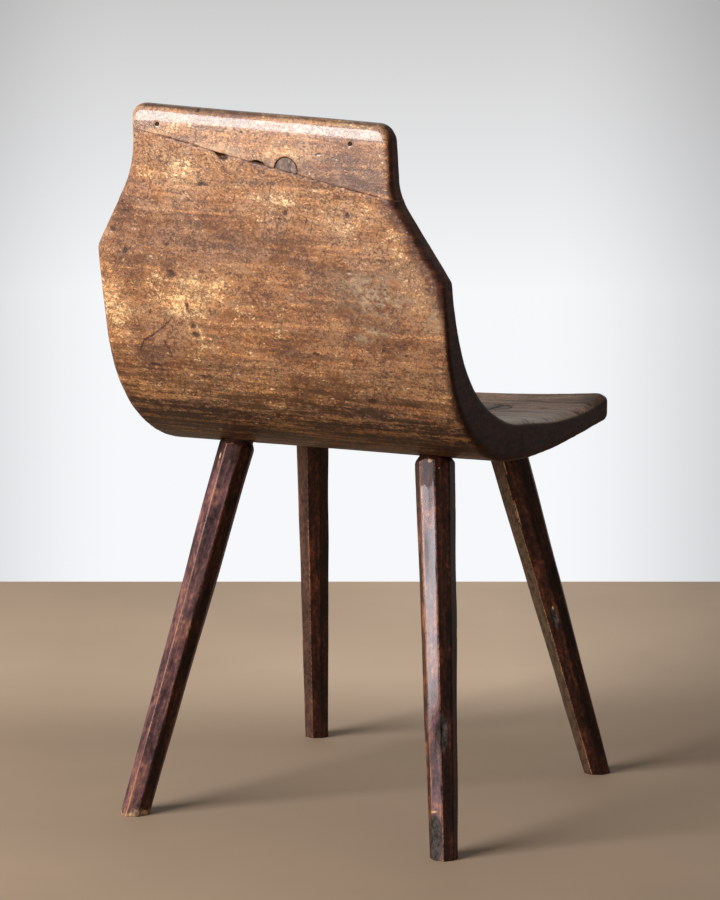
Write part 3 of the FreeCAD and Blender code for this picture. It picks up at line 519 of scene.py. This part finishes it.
def hewn_wood(name, lightness, gloss, wax, wax_roughness):
    """Old waxed timber with its grain along X: mottled honey and umber, crazed, scratched and stained."""
    material, tree = new_finish(name)
    place = place_in_piece(tree)
    patches = cloud(tree, place, (14, 22, 22), 9.0, 0.68, 0.6)
    flakes = cloud(tree, place, (60, 90, 90), 12.0, 0.80, 0.4)
    grit = cloud(tree, place, (150, 190, 190), 4.0, 0.75, 0.3)
    crumbs = cloud(tree, place, (320, 420, 420), 3.0, 0.65, 0.3)
    specks = cloud(tree, place, (270, 330, 330), 3.0, 0.6, 0.5)
    streaks = cloud(tree, place, (9, 170, 170), 8.0, 0.68)
    tone, shade, high = painted(tree, "tone"), painted(tree, "shade"), painted(tree, "high")
    grime, ends, wear = painted(tree, "grime"), painted(tree, "ends"), painted(tree, "wear")
    ground = weigh(tree, (tone, 0.8), (patches, 0.85), (flakes, 0.8), (streaks, 0.3))
    ground = weigh(tree, (ground, 1.0), (grit, 0.35), (crumbs, 0.35))
    stops = (
        (0.0, (0.100, 0.040, 0.021)),
        (0.28, (0.240, 0.098, 0.038)),
        (0.5, (0.385, 0.172, 0.066)),
        (0.75, (0.540, 0.270, 0.105)),
        (1.0, (0.700, 0.420, 0.190)),
    )
    colour = tones(tree, share_of(tree, ground, 1.37, 2.09), stops)
    old_polish = between(tree, weigh(tree, (flakes, 0.55), (patches, 0.45)), 0.475, 0.52)
    colour = lay(tree, old_polish, 0.42, colour, (0.245, 0.148, 0.095, 1))

    # Specks of dark brown, of pale ochre and of orange, thick in some places and thin in others
    thick = cloud(tree, place, (24, 38, 38), 6.0, 0.75, 0.6)
    thick_dark = between(tree, thick, 0.43, 0.56)
    thick_pale = between(tree, weigh(tree, (thick, -1.0), (tone, 0.6), (1.0, 1.0)), 0.83, 0.99)
    dark_specks = between(tree, weigh(tree, (specks, 1.0), (thick_dark, 0.12), (tone, -0.12)), 0.565, 0.605)
    colour = lay(tree, dark_specks, 0.74, colour, (0.110, 0.055, 0.034, 1))
    pale_specks = between(tree, weigh(tree, (crumbs, 0.6), (flakes, 0.5), (thick_pale, 0.11)), 0.655, 0.695)
    colour = lay(tree, pale_specks, 0.78, colour, (0.84, 0.54, 0.25, 1))
    orange_specks = between(tree, weigh(tree, (grit, 0.6), (streaks, 0.4)), 0.545, 0.58)
    colour = lay(tree, orange_specks, 0.52, colour, (0.62, 0.27, 0.085, 1))
    colour = shaded(tree, colour, between(tree, streaks, 0.35, 0.65, 0.86, 1.12))

    # Crazed lines and scratches, dark with dirt or pale where they are fresh
    here_and_there = between(tree, cloud(tree, place, (34, 46, 46), 6.0, 0.7), 0.47, 0.54)
    crazed = sums(tree, "MULTIPLY", crazing(tree, place, (95, 125, 125), 0.10), here_and_there)
    fine_crazed = crazing(tree, place, (200, 250, 250), 0.17)
    fine_crazed = sums(tree, "MULTIPLY", fine_crazed, between(tree, grit, 0.47, 0.52))
    dark_lines = sums(tree, "MAXIMUM", crazed, fine_crazed)
    dark_lines = sums(tree, "MAXIMUM", dark_lines, scratches(tree, place, 0.65, 0.655))
    dark_lines = sums(tree, "MAXIMUM", dark_lines, scratches(tree, place, -1.25, 0.655))
    colour = lay(tree, dark_lines, 0.76, colour, (0.056, 0.025, 0.019, 1))
    pale_lines = sums(tree, "MAXIMUM", scratches(tree, place, -0.4, 0.70), scratches(tree, place, 1.1, 0.70))
    colour = lay(tree, pale_lines, 0.25, colour, (0.70, 0.44, 0.22, 1))

    # Stains, pores and worm holes, and the marks of knocks, with painted shadow in the half hole under the
    # seam
    stain = sums(tree, "MULTIPLY", painted(tree, "stain"), between(tree, grit, 0.42, 0.58, 0.0, 0.85))
    colour = blend(tree, stain, colour, (0.36, 0.27, 0.165, 1))
    inputs = {"Vector": stretched(tree, place, (60, 110, 110)), "Scale": 1.0, "Randomness": 1.0}
    pores = grow(tree, "TexVoronoi", {"feature": "F1"}, inputs)
    rare = grow(tree, "SeparateColor", {}, {"Color": pores.outputs["Color"]})
    dots = between(tree, pores.outputs["Distance"], 0.05, 0.17, 1.0, 0.0)
    pits = sums(tree, "MULTIPLY", dots, between(tree, rare.outputs[0], 0.74, 0.82))
    colour = lay(tree, pits, 0.85, colour, (0.035, 0.016, 0.01, 1))
    marks = sums(tree, "MULTIPLY", painted(tree, "marks"), between(tree, crumbs, 0.35, 0.6, 0.55, 1.3))
    marks = between(tree, marks, 0.12, 0.55)
    colour = lay(tree, marks, 0.88, colour, (0.036, 0.020, 0.017, 1))

    # The lower the darker, with a painted sheen paling the upper back, and dirt with painted shade low down
    # and inside
    light = grow(tree, "MapRange", {}, {"Value": shade, "To Min": 0.48, "To Max": 1.26}).outputs["Result"]
    colour = shaded(tree, colour, sums(tree, "MULTIPLY", light, lightness))
    warm = between(tree, shade, 0.1, 0.72, 1.0, 0.0)
    colour = blend(tree, warm, colour, (1.0, 0.86, 0.60, 1), "MULTIPLY")
    # A painted sheen: the upper back and the crest board paler and cooler
    colour = blend(tree, high, colour, (1.0, 1.06, 1.20, 1), "MULTIPLY")
    broken = weigh(tree, (streaks, 0.35), (flakes, 0.3), (grit, 0.2), (crumbs, 0.15))
    broken = between(tree, broken, 0.47, 0.54, 1.35, 0.25)
    colour = lay(tree, grime, broken, colour, (0.036, 0.017, 0.009, 1))
    fleck = sums(tree, "MULTIPLY", dots, between(tree, rare.outputs[1], 0.93, 0.96))
    colour = lay(tree, fleck, 0.7, colour, (0.62, 0.52, 0.36, 1))

    # The seat, dulled to grey brown with dark checks along the grain, and a painted pale sheen by its right
    # rim
    checks = cloud(tree, place, (8, 120, 120), 6.0, 0.68, 0.3)
    seat_stops = ((0.39, (0.085, 0.040, 0.023)), (0.48, (0.35, 0.182, 0.101)), (0.60, (0.66, 0.378, 0.230)))
    seat_tone = tones(tree, weigh(tree, (checks, 0.5), (patches, 0.2), (grit, 0.3)), seat_stops)
    seat_tone = shaded(tree, seat_tone, between(tree, crumbs, 0.38, 0.62, 0.72, 1.22))
    # The painted pale sheen toward the right rim of the seat
    seat_tone = lay(tree, painted(tree, "dust"), 0.8, seat_tone, (0.72, 0.58, 0.49, 1))
    seat_tone = blend(tree, between(tree, checks, 0.40, 0.46, 0.6, 0.0), seat_tone, (0.045, 0.024, 0.016, 1))
    seat_tone = blend(tree, marks, seat_tone, (0.025, 0.016, 0.012, 1))
    colour = blend(tree, painted(tree, "seat"), colour, seat_tone)

    # The sawn ends, black brown low down and redder up the neck, and the rims rubbed to orange
    rings = cloud(tree, place, (30, 45, 160), 5.0, 0.6)
    end_stops = ((0.35, (0.018, 0.006, 0.004)), (0.6, (0.054, 0.0175, 0.010)), (0.8, (0.120, 0.040, 0.018)))
    end_tone = shaded(tree, tones(tree, rings, end_stops), between(tree, high, 0.0, 1.0, 1.0, 2.2))
    colour = blend(tree, ends, colour, end_tone)
    flaking = between(tree, flakes, 0.4, 0.6, 0.1, 0.75)
    colour = lay(tree, between(tree, wear, 0.4, 0.95), flaking, colour, (0.40, 0.185, 0.068, 1))

    rough = weigh(tree, (crumbs, 0.3), (flakes, 0.25), (ends, 0.25), (grime, 0.15), (0.14, 1.0))
    height = weigh(tree, (streaks, 0.45), (flakes, 0.5), (crumbs, 0.4), (dark_lines, -0.3), (pits, -0.8))
    skin = surface(tree, colour, rough, height, 0.0009)
    skin.inputs["IOR"].default_value = gloss
    skin.inputs["Coat Weight"].default_value = wax
    skin.inputs["Coat Roughness"].default_value = wax_roughness
    return material


crook_finish = hewn_wood("waxed_crook", 1.05, 1.27, 0.13, 0.20)
finish_piece(shell_mesh, "seat_and_back", crook_finish, "seat_back_shell")

# The crest board is a patch of paler timber grafted on above a slanting seam, held by hidden dowels and
# two small nails. Its rear has worn away roundly to the top edge, where a nick has been knocked out, and
# half holes from an older repair run along its seam.

CREST_GRID = 0.00105
CREST_THICKNESS = 0.021
CREST_LEAN = math.radians(5.8)
ROLL_START = 0.022
ROLL_RADIUS = 0.040
NICK_DEPTH = 0.0016
TOP_NICK = (0.0724, 0.2225, 0.7635)
CREST_KNOCKS = ((-0.0684, 0.7245, 0.0026, 0.0014, 0.0005), (0.020, 0.742, 0.0022, 0.0012, 0.0004))
CREST_PATCHES = (
    (0.060, 0.742, 0.070, 0.008, 0.22),
    (-0.020, 0.722, 0.050, 0.008, 0.20),
    (-0.112, 0.708, 0.050, 0.022, -0.36),
    (-0.020, 0.705, 0.060, 0.008, -0.15),
    (0.125, 0.750, 0.020, 0.010, -0.10),
)


def part_faces(mesh, material, share):
    """Give the faces where a share is over a half their own material."""
    mesh.materials.append(material)
    for face in mesh.polygons:
        face.material_index = int(share[face.vertices[0]] > 0.5)


crest_mesh = fine_mesh("crest_board", CREST_GRID)
crest_rim = hew(crest_mesh, 17.9)
crest_points = points_of(crest_mesh)
crest_normals = normals_of(crest_mesh)
x, y, z = crest_points.T
ends_of_top = []
for side in (x < x.min() + 0.05, x > x.max() - 0.05):
    highest = np.flatnonzero(side)[np.argmax(z[side])]
    ends_of_top.append((x[highest], z[highest]))
(right_x, right_z), (left_x, left_z) = ends_of_top
below_top = right_z + (left_z - right_z) * (x - right_x) / (left_x - right_x) - z
thin = near(crest_points, TOP_NICK, (0.0022, 0.006, 0.004))
crest_points[:, 2] -= NICK_DEPTH * thin
rear = y.max() - below_top * math.tan(CREST_LEAN)
share_back = np.clip(1 - (rear - y) / CREST_THICKNESS, 0, 1)
crest_points[:, 1] -= share_back * np.clip(ROLL_START - below_top, 0, 1) ** 2 / (2 * ROLL_RADIUS)
marks = 0.7 * thin
for across, up, wide, high, depth in CREST_KNOCKS:
    knock = near(crest_points, on_back(crest_points, across, up), (wide, 0.012, high))
    crest_points -= crest_normals * (depth * knock)[:, None]
    marks = np.maximum(marks, knock)
marks = np.maximum(marks, dark_seam(crest_points))
wobble_seam(crest_points)
move_points(crest_mesh, crest_points)
crest_normals = normals_of(crest_mesh)
tone = np.full(len(x), 0.52)
flat = crest_points * (1, 0, 1)
for across, up, wide, high, amount in CREST_PATCHES:
    tone += amount * near(flat, (across, 0, up), (wide, 1, high))
crest_behind = step(crest_normals[:, 1], -0.2, 0.2)
crest_up = step(crest_normals[:, 2], 0.6, 0.85)
paint(
    crest_mesh,
    tone=tone + 0.10 * blotches(crest_points),
    stain=near(flat, (0.045, 0, 0.722), (0.02, 1, 0.004)),
    marks=marks,
    # Darker on the top face and on the faces turned from the window: partly dirt and partly painted shade
    shade=crest_behind * (1 - 0.55 * crest_up) + 0.45 * (1 - crest_behind),
    grime=0.35 * (1 - crest_behind) + 0.45 * crest_up,
    seat=0,
    dust=0,
    ends=step(-crest_normals[:, 0], 0.5, 0.8),
    high=1,
    wear=crest_rim,
)
crest_finish = hewn_wood("waxed_crest", 1.12, 1.6, 0.60, 0.12)
finish_piece(crest_mesh, "crest", crest_finish, "crest_board")
part_faces(crest_mesh, crook_finish, step(-crest_normals[:, 0], 0.3, 0.5))

# The hole plug is a rough half round of wood, whittled to fit and let into the largest of the half holes. It
# is bare of wax and has gone grey with age.

PLUG_GRID = 0.0006
PLUG_STOPS = ((0.35, (0.07, 0.04, 0.03)), (0.55, (0.20, 0.13, 0.10)), (0.7, (0.46, 0.34, 0.27)))


def mottled(name, grain, detail, mottle, stops, roughness, relief, metal=0.0):
    """The finish of a small piece, mottled in colour, gloss and relief alike."""
    material, tree = new_finish(name)
    flecks = cloud(tree, place_in_piece(tree), grain, detail, mottle)
    rough = between(tree, flecks, 0.3, 0.7, *roughness)
    skin = surface(tree, tones(tree, flecks, stops), rough, flecks, relief)
    skin.inputs["Metallic"].default_value = metal
    return material


plug_mesh = fine_mesh("hole_plug", PLUG_GRID)
plug_points = points_of(plug_mesh)
plug_relief = 0.0003 * waves(plug_points, (0.004, 0.004, 0.004), 2.2)
move_points(plug_mesh, plug_points + normals_of(plug_mesh) * plug_relief[:, None])
plug_finish = mottled("grey_plug", (500, 300, 180), 6.0, 0.7, PLUG_STOPS, (0.5, 0.7), 0.0006)
finish_piece(plug_mesh, "plug", plug_finish, "hole_plug")

# Two round dowels of plain wood stand in the crook and the crest board and hold the graft, quite hidden. Two
# small iron nails are driven in from the rear, and show only their dark heads.

DOWEL_STOPS = ((0.3, (0.22, 0.12, 0.06)), (0.7, (0.42, 0.25, 0.13)))
NAIL_STOPS = ((0.35, (0.012, 0.009, 0.008)), (0.6, (0.035, 0.02, 0.013)), (0.75, (0.1, 0.045, 0.02)))


def refinish(node, material):
    """Give a CAD node that shows as it is a finish."""
    nodes[node].data.materials.clear()
    nodes[node].data.materials.append(material)


dowel_finish = mottled("plain_dowel", (900, 900, 60), 4.0, 0.6, DOWEL_STOPS, (0.5, 0.65), 0.0003)
nail_finish = mottled("dark_iron", (700, 700, 700), 5.0, 0.65, NAIL_STOPS, (0.55, 0.8), 0.0003, 0.6)
for side in ("left", "right"):
    refinish(f"crest_dowel_{side}", dowel_finish)
    refinish(f"crest_nail_{side}", nail_finish)

# Each leg is cleft and whittled to a rough octagon, tapering to the foot. The arrises have rubbed to orange
# through a nearly black red-brown finish, more toward the window as painted light. The facets toward the
# window carry painted light and sheen, purple brown mostly on the rear legs and dusty olive on the front
# ones. A round tenon goes up through the seat and is wedged there.

LEG_GRID = 0.0010
LEG_WAVE = 0.0008
LEG_RIPPLE = 0.0003
CHIP_DEPTH = 0.0018
ARRIS_WEAR = 0.0002
# Ways toward the window: facets facing the first carry painted light and sheen; arrises facing the second,
# and the rear right leg's facet facing the third, are painted more orange, wear with painted light
WINDOW_FACET_WAY = np.array((0.17, 0.97, 0.10))
RUBBED_LIT_WAY = np.array((0.09, 0.98, 0.18))
LEFT_FACET_WAY = np.array((0.69, 0.71, 0.05))
# Hollows in the legs: the leg, a place on it, its radius, its length up the leg and its depth
LEG_HOLLOWS = (
    ("rear_right", (-0.1757, 0.1560, 0.127), 0.0050, 0.017, 0.0032),
    ("rear_right", (-0.1815, 0.1850, 0.022), 0.0075, 0.021, 0.0012),
    ("front_right", (-0.1532, -0.1520, 0.184), 0.0035, 0.011, 0.0026),
)
# Places where the legs show fresh wood, and one painted highlight, in the same terms without a depth
LEG_FLECKS = (
    ("rear_right", (-0.1775, 0.1765, 0.0475), 0.0050, 0.0016),
    ("rear_right", (-0.1715, 0.1785, 0.0300), 0.0016, 0.0150),
    ("rear_right", (-0.1261, 0.0900, 0.3950), 0.0030, 0.0022),
    ("rear_right", (-0.1355, 0.0879, 0.3880), 0.0012, 0.0012),
    ("front_right", (-0.1527, -0.1503, 0.1945), 0.0014, 0.0034),
    ("front_right", (-0.1162, -0.1045, 0.3548), 0.0008, 0.0160),
    ("front_right", (-0.1254, -0.1183, 0.3010), 0.0008, 0.0240),
    # A painted highlight on the shoulder of the rear left leg
    ("rear_left", (0.1235, 0.0911, 0.3790), 0.0020, 0.0050),
)
# How much painted light and sheen the facets toward the window get on each leg, purple brown and dusty olive
FACET_LIGHT = {"rear_left": 0.85, "rear_right": 1.0, "front_left": 0.35, "front_right": 0.0}
LIT_DUSTY = {"rear_left": 0.0, "rear_right": 0.0, "front_left": 0.45, "front_right": 0.9}
BARE_FEET = {"rear_left": 0.6, "rear_right": 0.2, "front_left": 0.0, "front_right": 0.0}


def leg_frame(points):
    """The foot's middle and three directions: across, sideways and up the leg."""
    foot = points[points[:, 2] < 0.004].mean(0)
    top = points[points[:, 2] > points[:, 2].max() - 0.006].mean(0)
    up = (top - foot) / np.linalg.norm(top - foot)
    across = np.cross((0, 1, 0), up)
    across /= np.linalg.norm(across)
    return foot, np.array((across, np.cross(up, across), up))


def leg_wood(name, polish):
    """Dark red-brown, mottled and streaked down the leg, painted light on window facets, arrises rubbed
    orange.
    """
    material, tree = new_finish(name)
    place = grow(tree, "Attribute", {"attribute_name": "own"}, {}).outputs["Vector"]
    streaks = cloud(tree, place, (170, 170, 11), 6.0, 0.70, 0.3)
    crumbs = cloud(tree, place, (280, 280, 160), 4.0, 0.68)
    patches = cloud(tree, place, (52, 52, 16), 6.0, 0.68, 0.5)
    mixed = weigh(tree, (streaks, 0.25), (patches, 0.40), (crumbs, 0.35))
    dark_stops = (
        (0.39, (0.006, 0.0022, 0.0016)),
        (0.46, (0.018, 0.0058, 0.0036)),
        (0.53, (0.050, 0.0135, 0.0068)),
        (0.62, (0.150, 0.0430, 0.0170)),
    )
    colour = tones(tree, mixed, dark_stops)
    lit_facet_stops = (
        (0.39, (0.034, 0.014, 0.018)),
        (0.46, (0.108, 0.048, 0.058)),
        (0.53, (0.205, 0.088, 0.078)),
        (0.62, (0.450, 0.200, 0.095)),
    )
    # Painted light and sheen on the facets toward the window: purple brown, and dusty olive on the front legs
    lit_facet_share = sums(tree, "MULTIPLY", painted(tree, "facet"), between(tree, patches, 0.35, 0.6, 0.45, 1.0))
    colour = blend(tree, lit_facet_share, colour, tones(tree, mixed, lit_facet_stops))
    dusty = sums(tree, "MULTIPLY", painted(tree, "dusty"), between(tree, crumbs, 0.35, 0.6, 0.3, 0.9))
    colour = blend(tree, dusty, colour, (0.105, 0.069, 0.041, 1))

    # Arrises rubbed through to orange wood, in broken lengths, more toward the window as painted light
    rubbed = weigh(tree, (painted(tree, "wear"), 1.0), (patches, 1.5), (crumbs, 0.5), (-1.0, 1.0))
    rubbed = between(tree, rubbed, 0.35, 0.80)
    worn_stops = ((0.35, (0.16, 0.050, 0.018)), (0.52, (0.38, 0.145, 0.050)), (0.68, (0.66, 0.34, 0.15)))
    colour = lay(tree, rubbed, 0.9, colour, tones(tree, streaks, worn_stops))

    # Dark hollows, fresh wood in chips and at the feet, one painted highlight, and the tenon's end worn like
    # the seat
    hollow = between(tree, weigh(tree, (painted(tree, "hollow"), 1.0), (crumbs, 0.5), (-0.25, 1.0)), 0.3, 0.6)
    hollow_tone = tones(tree, crumbs, ((0.40, (0.010, 0.007, 0.006)), (0.65, (0.085, 0.062, 0.050))))
    colour = blend(tree, hollow, colour, hollow_tone)
    fresh = between(tree, weigh(tree, (painted(tree, "fresh"), 1.0), (crumbs, 1.0), (-0.5, 1.0)), 0.4, 0.75)
    new_wood = tones(tree, patches, ((0.40, (0.30, 0.20, 0.125)), (0.60, (0.68, 0.42, 0.20))))
    colour = lay(tree, fresh, 0.9, colour, new_wood)
    seat_like = tones(tree, crumbs, ((0.35, (0.08, 0.050, 0.036)), (0.65, (0.33, 0.24, 0.18))))
    colour = blend(tree, painted(tree, "tenon"), colour, seat_like)
    rough = weigh(tree, (crumbs, 0.25), (patches, 0.25), (hollow, 0.2), (0.22, 1.0))
    height = weigh(tree, (streaks, 0.5), (crumbs, 0.3), (patches, 0.5))
    skin = surface(tree, colour, rough, height, 0.0008)
    skin.inputs["IOR"].default_value = 1.3
    skin.inputs["Coat Weight"].default_value = polish
    skin.inputs["Coat Roughness"].default_value = 0.2
    return material


leg_finish = leg_wood("dark_leg", 0.05)
polished_leg = leg_wood("polished_leg", 0.6)
for number, corner in enumerate(CORNERS):
    mesh = fine_mesh(f"leg_{corner}", LEG_GRID, 0)
    points = points_of(mesh)
    foot, directions = leg_frame(points)
    own = (points - foot) @ directions.T
    normals = normals_of(mesh)
    arris = step(roundness(mesh, 2), 30, 130)
    seed = 60.0 + 13 * number
    relief = LEG_WAVE * waves(own, (0.03, 0.03, 0.08), seed)
    relief += LEG_RIPPLE * waves(own, (0.010, 0.010, 0.05), seed + 3)
    chips = np.clip(waves(own, (0.012, 0.012, 0.02), seed + 6) - 0.25, 0, 1)
    relief -= CHIP_DEPTH * arris * chips + ARRIS_WEAR * arris
    clear_of_seat = 1 - step(own[:, 2], own[:, 2].max() - 0.05, own[:, 2].max() - 0.04)
    relief *= clear_of_seat * step(points[:, 2], 0.0, 0.006)
    # Facets toward the window painted lighter: painted light and sheen
    facet = step(normals @ (WINDOW_FACET_WAY / np.linalg.norm(WINDOW_FACET_WAY)), 0.80, 0.90)
    ragged = waves(own, (0.009, 0.009, 0.030), seed + 12)
    ragged += 0.5 * waves(own, (0.004, 0.004, 0.010), seed + 15)
    facet *= 1 - 0.9 * step(points[:, 2] + 0.022 * ragged, 0.362, 0.385)
    # Arrises toward the window painted more orange: wear and painted light
    rubbed_lit_side = step(normals @ (RUBBED_LIT_WAY / np.linalg.norm(RUBBED_LIT_WAY)), 0.70, 0.92)
    foot_edge = points[:, 2] + 0.006 * waves(own, (0.01, 0.01, 0.01), seed + 9)
    fresh = BARE_FEET[corner] * (1 - step(foot_edge, 0.002, 0.016))
    hollow = np.zeros(len(points))
    for leg, place, radius, length, depth in LEG_HOLLOWS:
        if leg == corner:
            centre = (np.array(place) - foot) @ directions.T
            bite = near(own + 0.002 * chips[:, None], centre, (radius, radius, length))
            relief -= depth * bite
            hollow = np.maximum(hollow, np.clip(1.9 * bite, 0, 1))
    for leg, place, radius, length in LEG_FLECKS:
        if leg == corner:
            centre = (np.array(place) - foot) @ directions.T
            fresh = np.maximum(fresh, near(own, centre, (radius, radius, length)))
    move_points(mesh, points + normals * relief[:, None])
    mesh.attributes.new("own", "FLOAT_VECTOR", "POINT").data.foreach_set("vector", own.ravel())
    # The rear right leg's facet toward the window painted orange: wear and painted light
    left_facet = step(normals @ LEFT_FACET_WAY, 0.93, 0.98) * (corner == "rear_right")
    paint(
        mesh,
        wear=np.maximum(arris * (0.3 + 0.7 * rubbed_lit_side), (0.42 + 0.25 * ragged) * left_facet),
        facet=facet * FACET_LIGHT[corner],
        dusty=facet * LIT_DUSTY[corner],
        fresh=fresh,
        hollow=hollow,
        tenon=step(points[:, 2], points[:, 2].max() - 0.02, points[:, 2].max() - 0.012),
    )
    finish_piece(mesh, f"leg_{corner}_whittled", leg_finish, f"leg_{corner}")
    if corner == "rear_right":
        part_faces(mesh, polished_leg, facet * step(points[:, 2] + 0.02 * ragged, 0.09, 0.16))

# A thin wedge of dark wood is driven from above into a kerf in each tenon, and spreads it tight in its
# mortise. The wedges are trimmed flush with the seat.

WEDGE_STOPS = ((0.3, (0.02, 0.012, 0.009)), (0.7, (0.07, 0.045, 0.032)))

wedge_finish = mottled("dark_wedge", (900, 900, 60), 4.0, 0.6, WEDGE_STOPS, (0.5, 0.7), 0.0003)
for corner in CORNERS:
    refinish(f"tenon_wedge_{corner}", wedge_finish)

# A plain floor that ends in a straight edge behind the chair, with pale air beyond it. The floor is turned
# square to the camera, and is paler toward its far edge, where a painted pool of light lies across it.

CAMERA_AZIMUTH = math.radians(208.2336)
CAMERA_ELEVATION = math.radians(10.6505)
CAMERA_DISTANCE = 4.77525
AIM = Vector((-0.0039, 0.0154, 0.383245))
FLOOR_SIDE = 4
FLOOR_NEAR = 6
FLOOR_FAR = 1.10
# Tones of the far floor from side to side, a painted pool of light
FLOOR_LIGHT_TONES = ((0.0, (0.60, 0.445, 0.310)), (0.3, (0.84, 0.625, 0.440)), (0.9, (0.60, 0.435, 0.295)))
NEAR_FLOOR_TONE = (0.350, 0.245, 0.160, 1)

floor_mesh = bpy.data.meshes.new("floor")
floor_corners = [
    (-FLOOR_SIDE, -FLOOR_FAR, 0),
    (FLOOR_SIDE, -FLOOR_FAR, 0),
    (FLOOR_SIDE, FLOOR_NEAR, 0),
    (-FLOOR_SIDE, FLOOR_NEAR, 0),
]
floor_mesh.from_pydata(floor_corners, [], [(0, 1, 2, 3)])
floor = bpy.data.objects.new("floor", floor_mesh)
bpy.context.scene.collection.objects.link(floor)
floor.location = (AIM.x, AIM.y, 0)
floor.rotation_euler = (0, 0, CAMERA_AZIMUTH - math.pi)
floor_finish, tree = new_finish("plain_floor")
place = place_in_piece(tree)
parts_of_place = grow(tree, "SeparateXYZ", {}, {"Vector": place}).outputs
# A painted pool of light across the far floor, palest a little to the right of the chair as seen
far_light_tone = tones(tree, share_of(tree, parts_of_place["X"], -0.45, 0.45), FLOOR_LIGHT_TONES)
dust = cloud(tree, place, (3, 3, 3), 4.0, 0.5)
nearness = between(tree, weigh(tree, (parts_of_place["Y"], 1.0), (dust, 0.1)), -0.57, -0.17)
floor_tone = blend(tree, nearness, far_light_tone, NEAR_FLOOR_TONE)
floor_tone = shaded(tree, floor_tone, between(tree, dust, 0.3, 0.7, 0.95, 1.05))
surface(tree, floor_tone, 0.75, dust, 0.0005)
floor_mesh.materials.append(floor_finish)

# Soft light from a tall window on the viewer's left, a weak fill from the right, and air all round that gives
# more light from beyond the chair. The wall that shows there is palest low down and in the middle.

LEFT = Vector((-math.cos(CAMERA_AZIMUTH), -math.sin(CAMERA_AZIMUTH), 0))
TO_CAMERA = Vector((math.sin(CAMERA_AZIMUTH), -math.cos(CAMERA_AZIMUTH), 0))
LIT_PLACE = Vector((0, 0, 0.5))
WALL_TONES = ((0.0, (0.925, 0.940, 0.965)), (0.5, (0.925, 0.935, 0.955)), (0.95, (0.61, 0.61, 0.605)))
AIR_TONES = ((0.0, (0.125, 0.118, 0.112)), (1.0, (0.44, 0.43, 0.42)))


def soft_lamp(name, place, width, height, power, colour):
    """A lamp with a broad face that looks at the middle of the chair."""
    lamp = bpy.data.lights.new(name, "AREA")
    lamp.shape = "RECTANGLE"
    lamp.size = width
    lamp.size_y = height
    lamp.energy = power
    lamp.color = colour
    thing = bpy.data.objects.new(name, lamp)
    bpy.context.scene.collection.objects.link(thing)
    thing.location = place
    thing.rotation_euler = (LIT_PLACE - place).to_track_quat("-Z", "Y").to_euler()


def toward(tree, heading, way):
    """How far a heading points along a way."""
    inputs = {0: heading, 1: tuple(way)}
    return grow(tree, "VectorMath", {"operation": "DOT_PRODUCT"}, inputs).outputs["Value"]


window_place = LEFT * 2.1 + TO_CAMERA * 1.3 + Vector((0, 0, 1.4))
soft_lamp("window", window_place, width=1.4, height=1.6, power=107, colour=(0.98, 0.985, 1.0))
fill_place = -LEFT * 1.5 + TO_CAMERA * 2.5 + Vector((0, 0, 1.2))
soft_lamp("fill", fill_place, width=2.0, height=2.0, power=3, colour=(1.0, 0.97, 0.93))

world = bpy.data.worlds.new("pale_air")
bpy.context.scene.world = world
world.use_nodes = True
tree = world.node_tree
tree.nodes.clear()
heading = grow(tree, "TexCoord", {}, {}).outputs["Generated"]
steep = grow(tree, "SeparateXYZ", {}, {"Vector": heading}).outputs["Z"]
wall = tones(tree, share_of(tree, steep, -0.22, -0.08), WALL_TONES)
aside = sums(tree, "ABSOLUTE", sums(tree, "SUBTRACT", toward(tree, heading, LEFT), 0.0055))
wall = shaded(tree, wall, between(tree, aside, 0.045, 0.11, 1.0, 0.58))
air = tones(tree, between(tree, toward(tree, heading, -TO_CAMERA), -0.3, 0.9), AIR_TONES)
seen = grow(tree, "LightPath", {}, {})
shown = grow(tree, "Background", {}, {"Color": wall, "Strength": 1.0})
lit = grow(tree, "Background", {}, {"Color": air, "Strength": 1.0})
both = grow(tree, "MixShader", {}, {0: seen.outputs["Is Camera Ray"], 1: lit.outputs[0], 2: shown.outputs[0]})
output = tree.nodes.new("ShaderNodeOutputWorld")
tree.links.new(both.outputs[0], output.inputs["Surface"])

# The camera stands behind the chair, toward the sitter's right, and looks down on it a little through a long
# lens. The colours go to the picture without a film curve.

camera = bpy.data.cameras.new("camera")
camera.lens = 180
camera.sensor_width = 36
camera.clip_end = 50
viewer = bpy.data.objects.new("camera", camera)
bpy.context.scene.collection.objects.link(viewer)
outward = TO_CAMERA * math.cos(CAMERA_ELEVATION) + Vector((0, 0, math.sin(CAMERA_ELEVATION)))
viewer.location = AIM + outward * CAMERA_DISTANCE
viewer.rotation_euler = (-outward).to_track_quat("-Z", "Y").to_euler()
bpy.context.scene.camera = viewer
bpy.context.scene.view_settings.view_transform = "Standard"
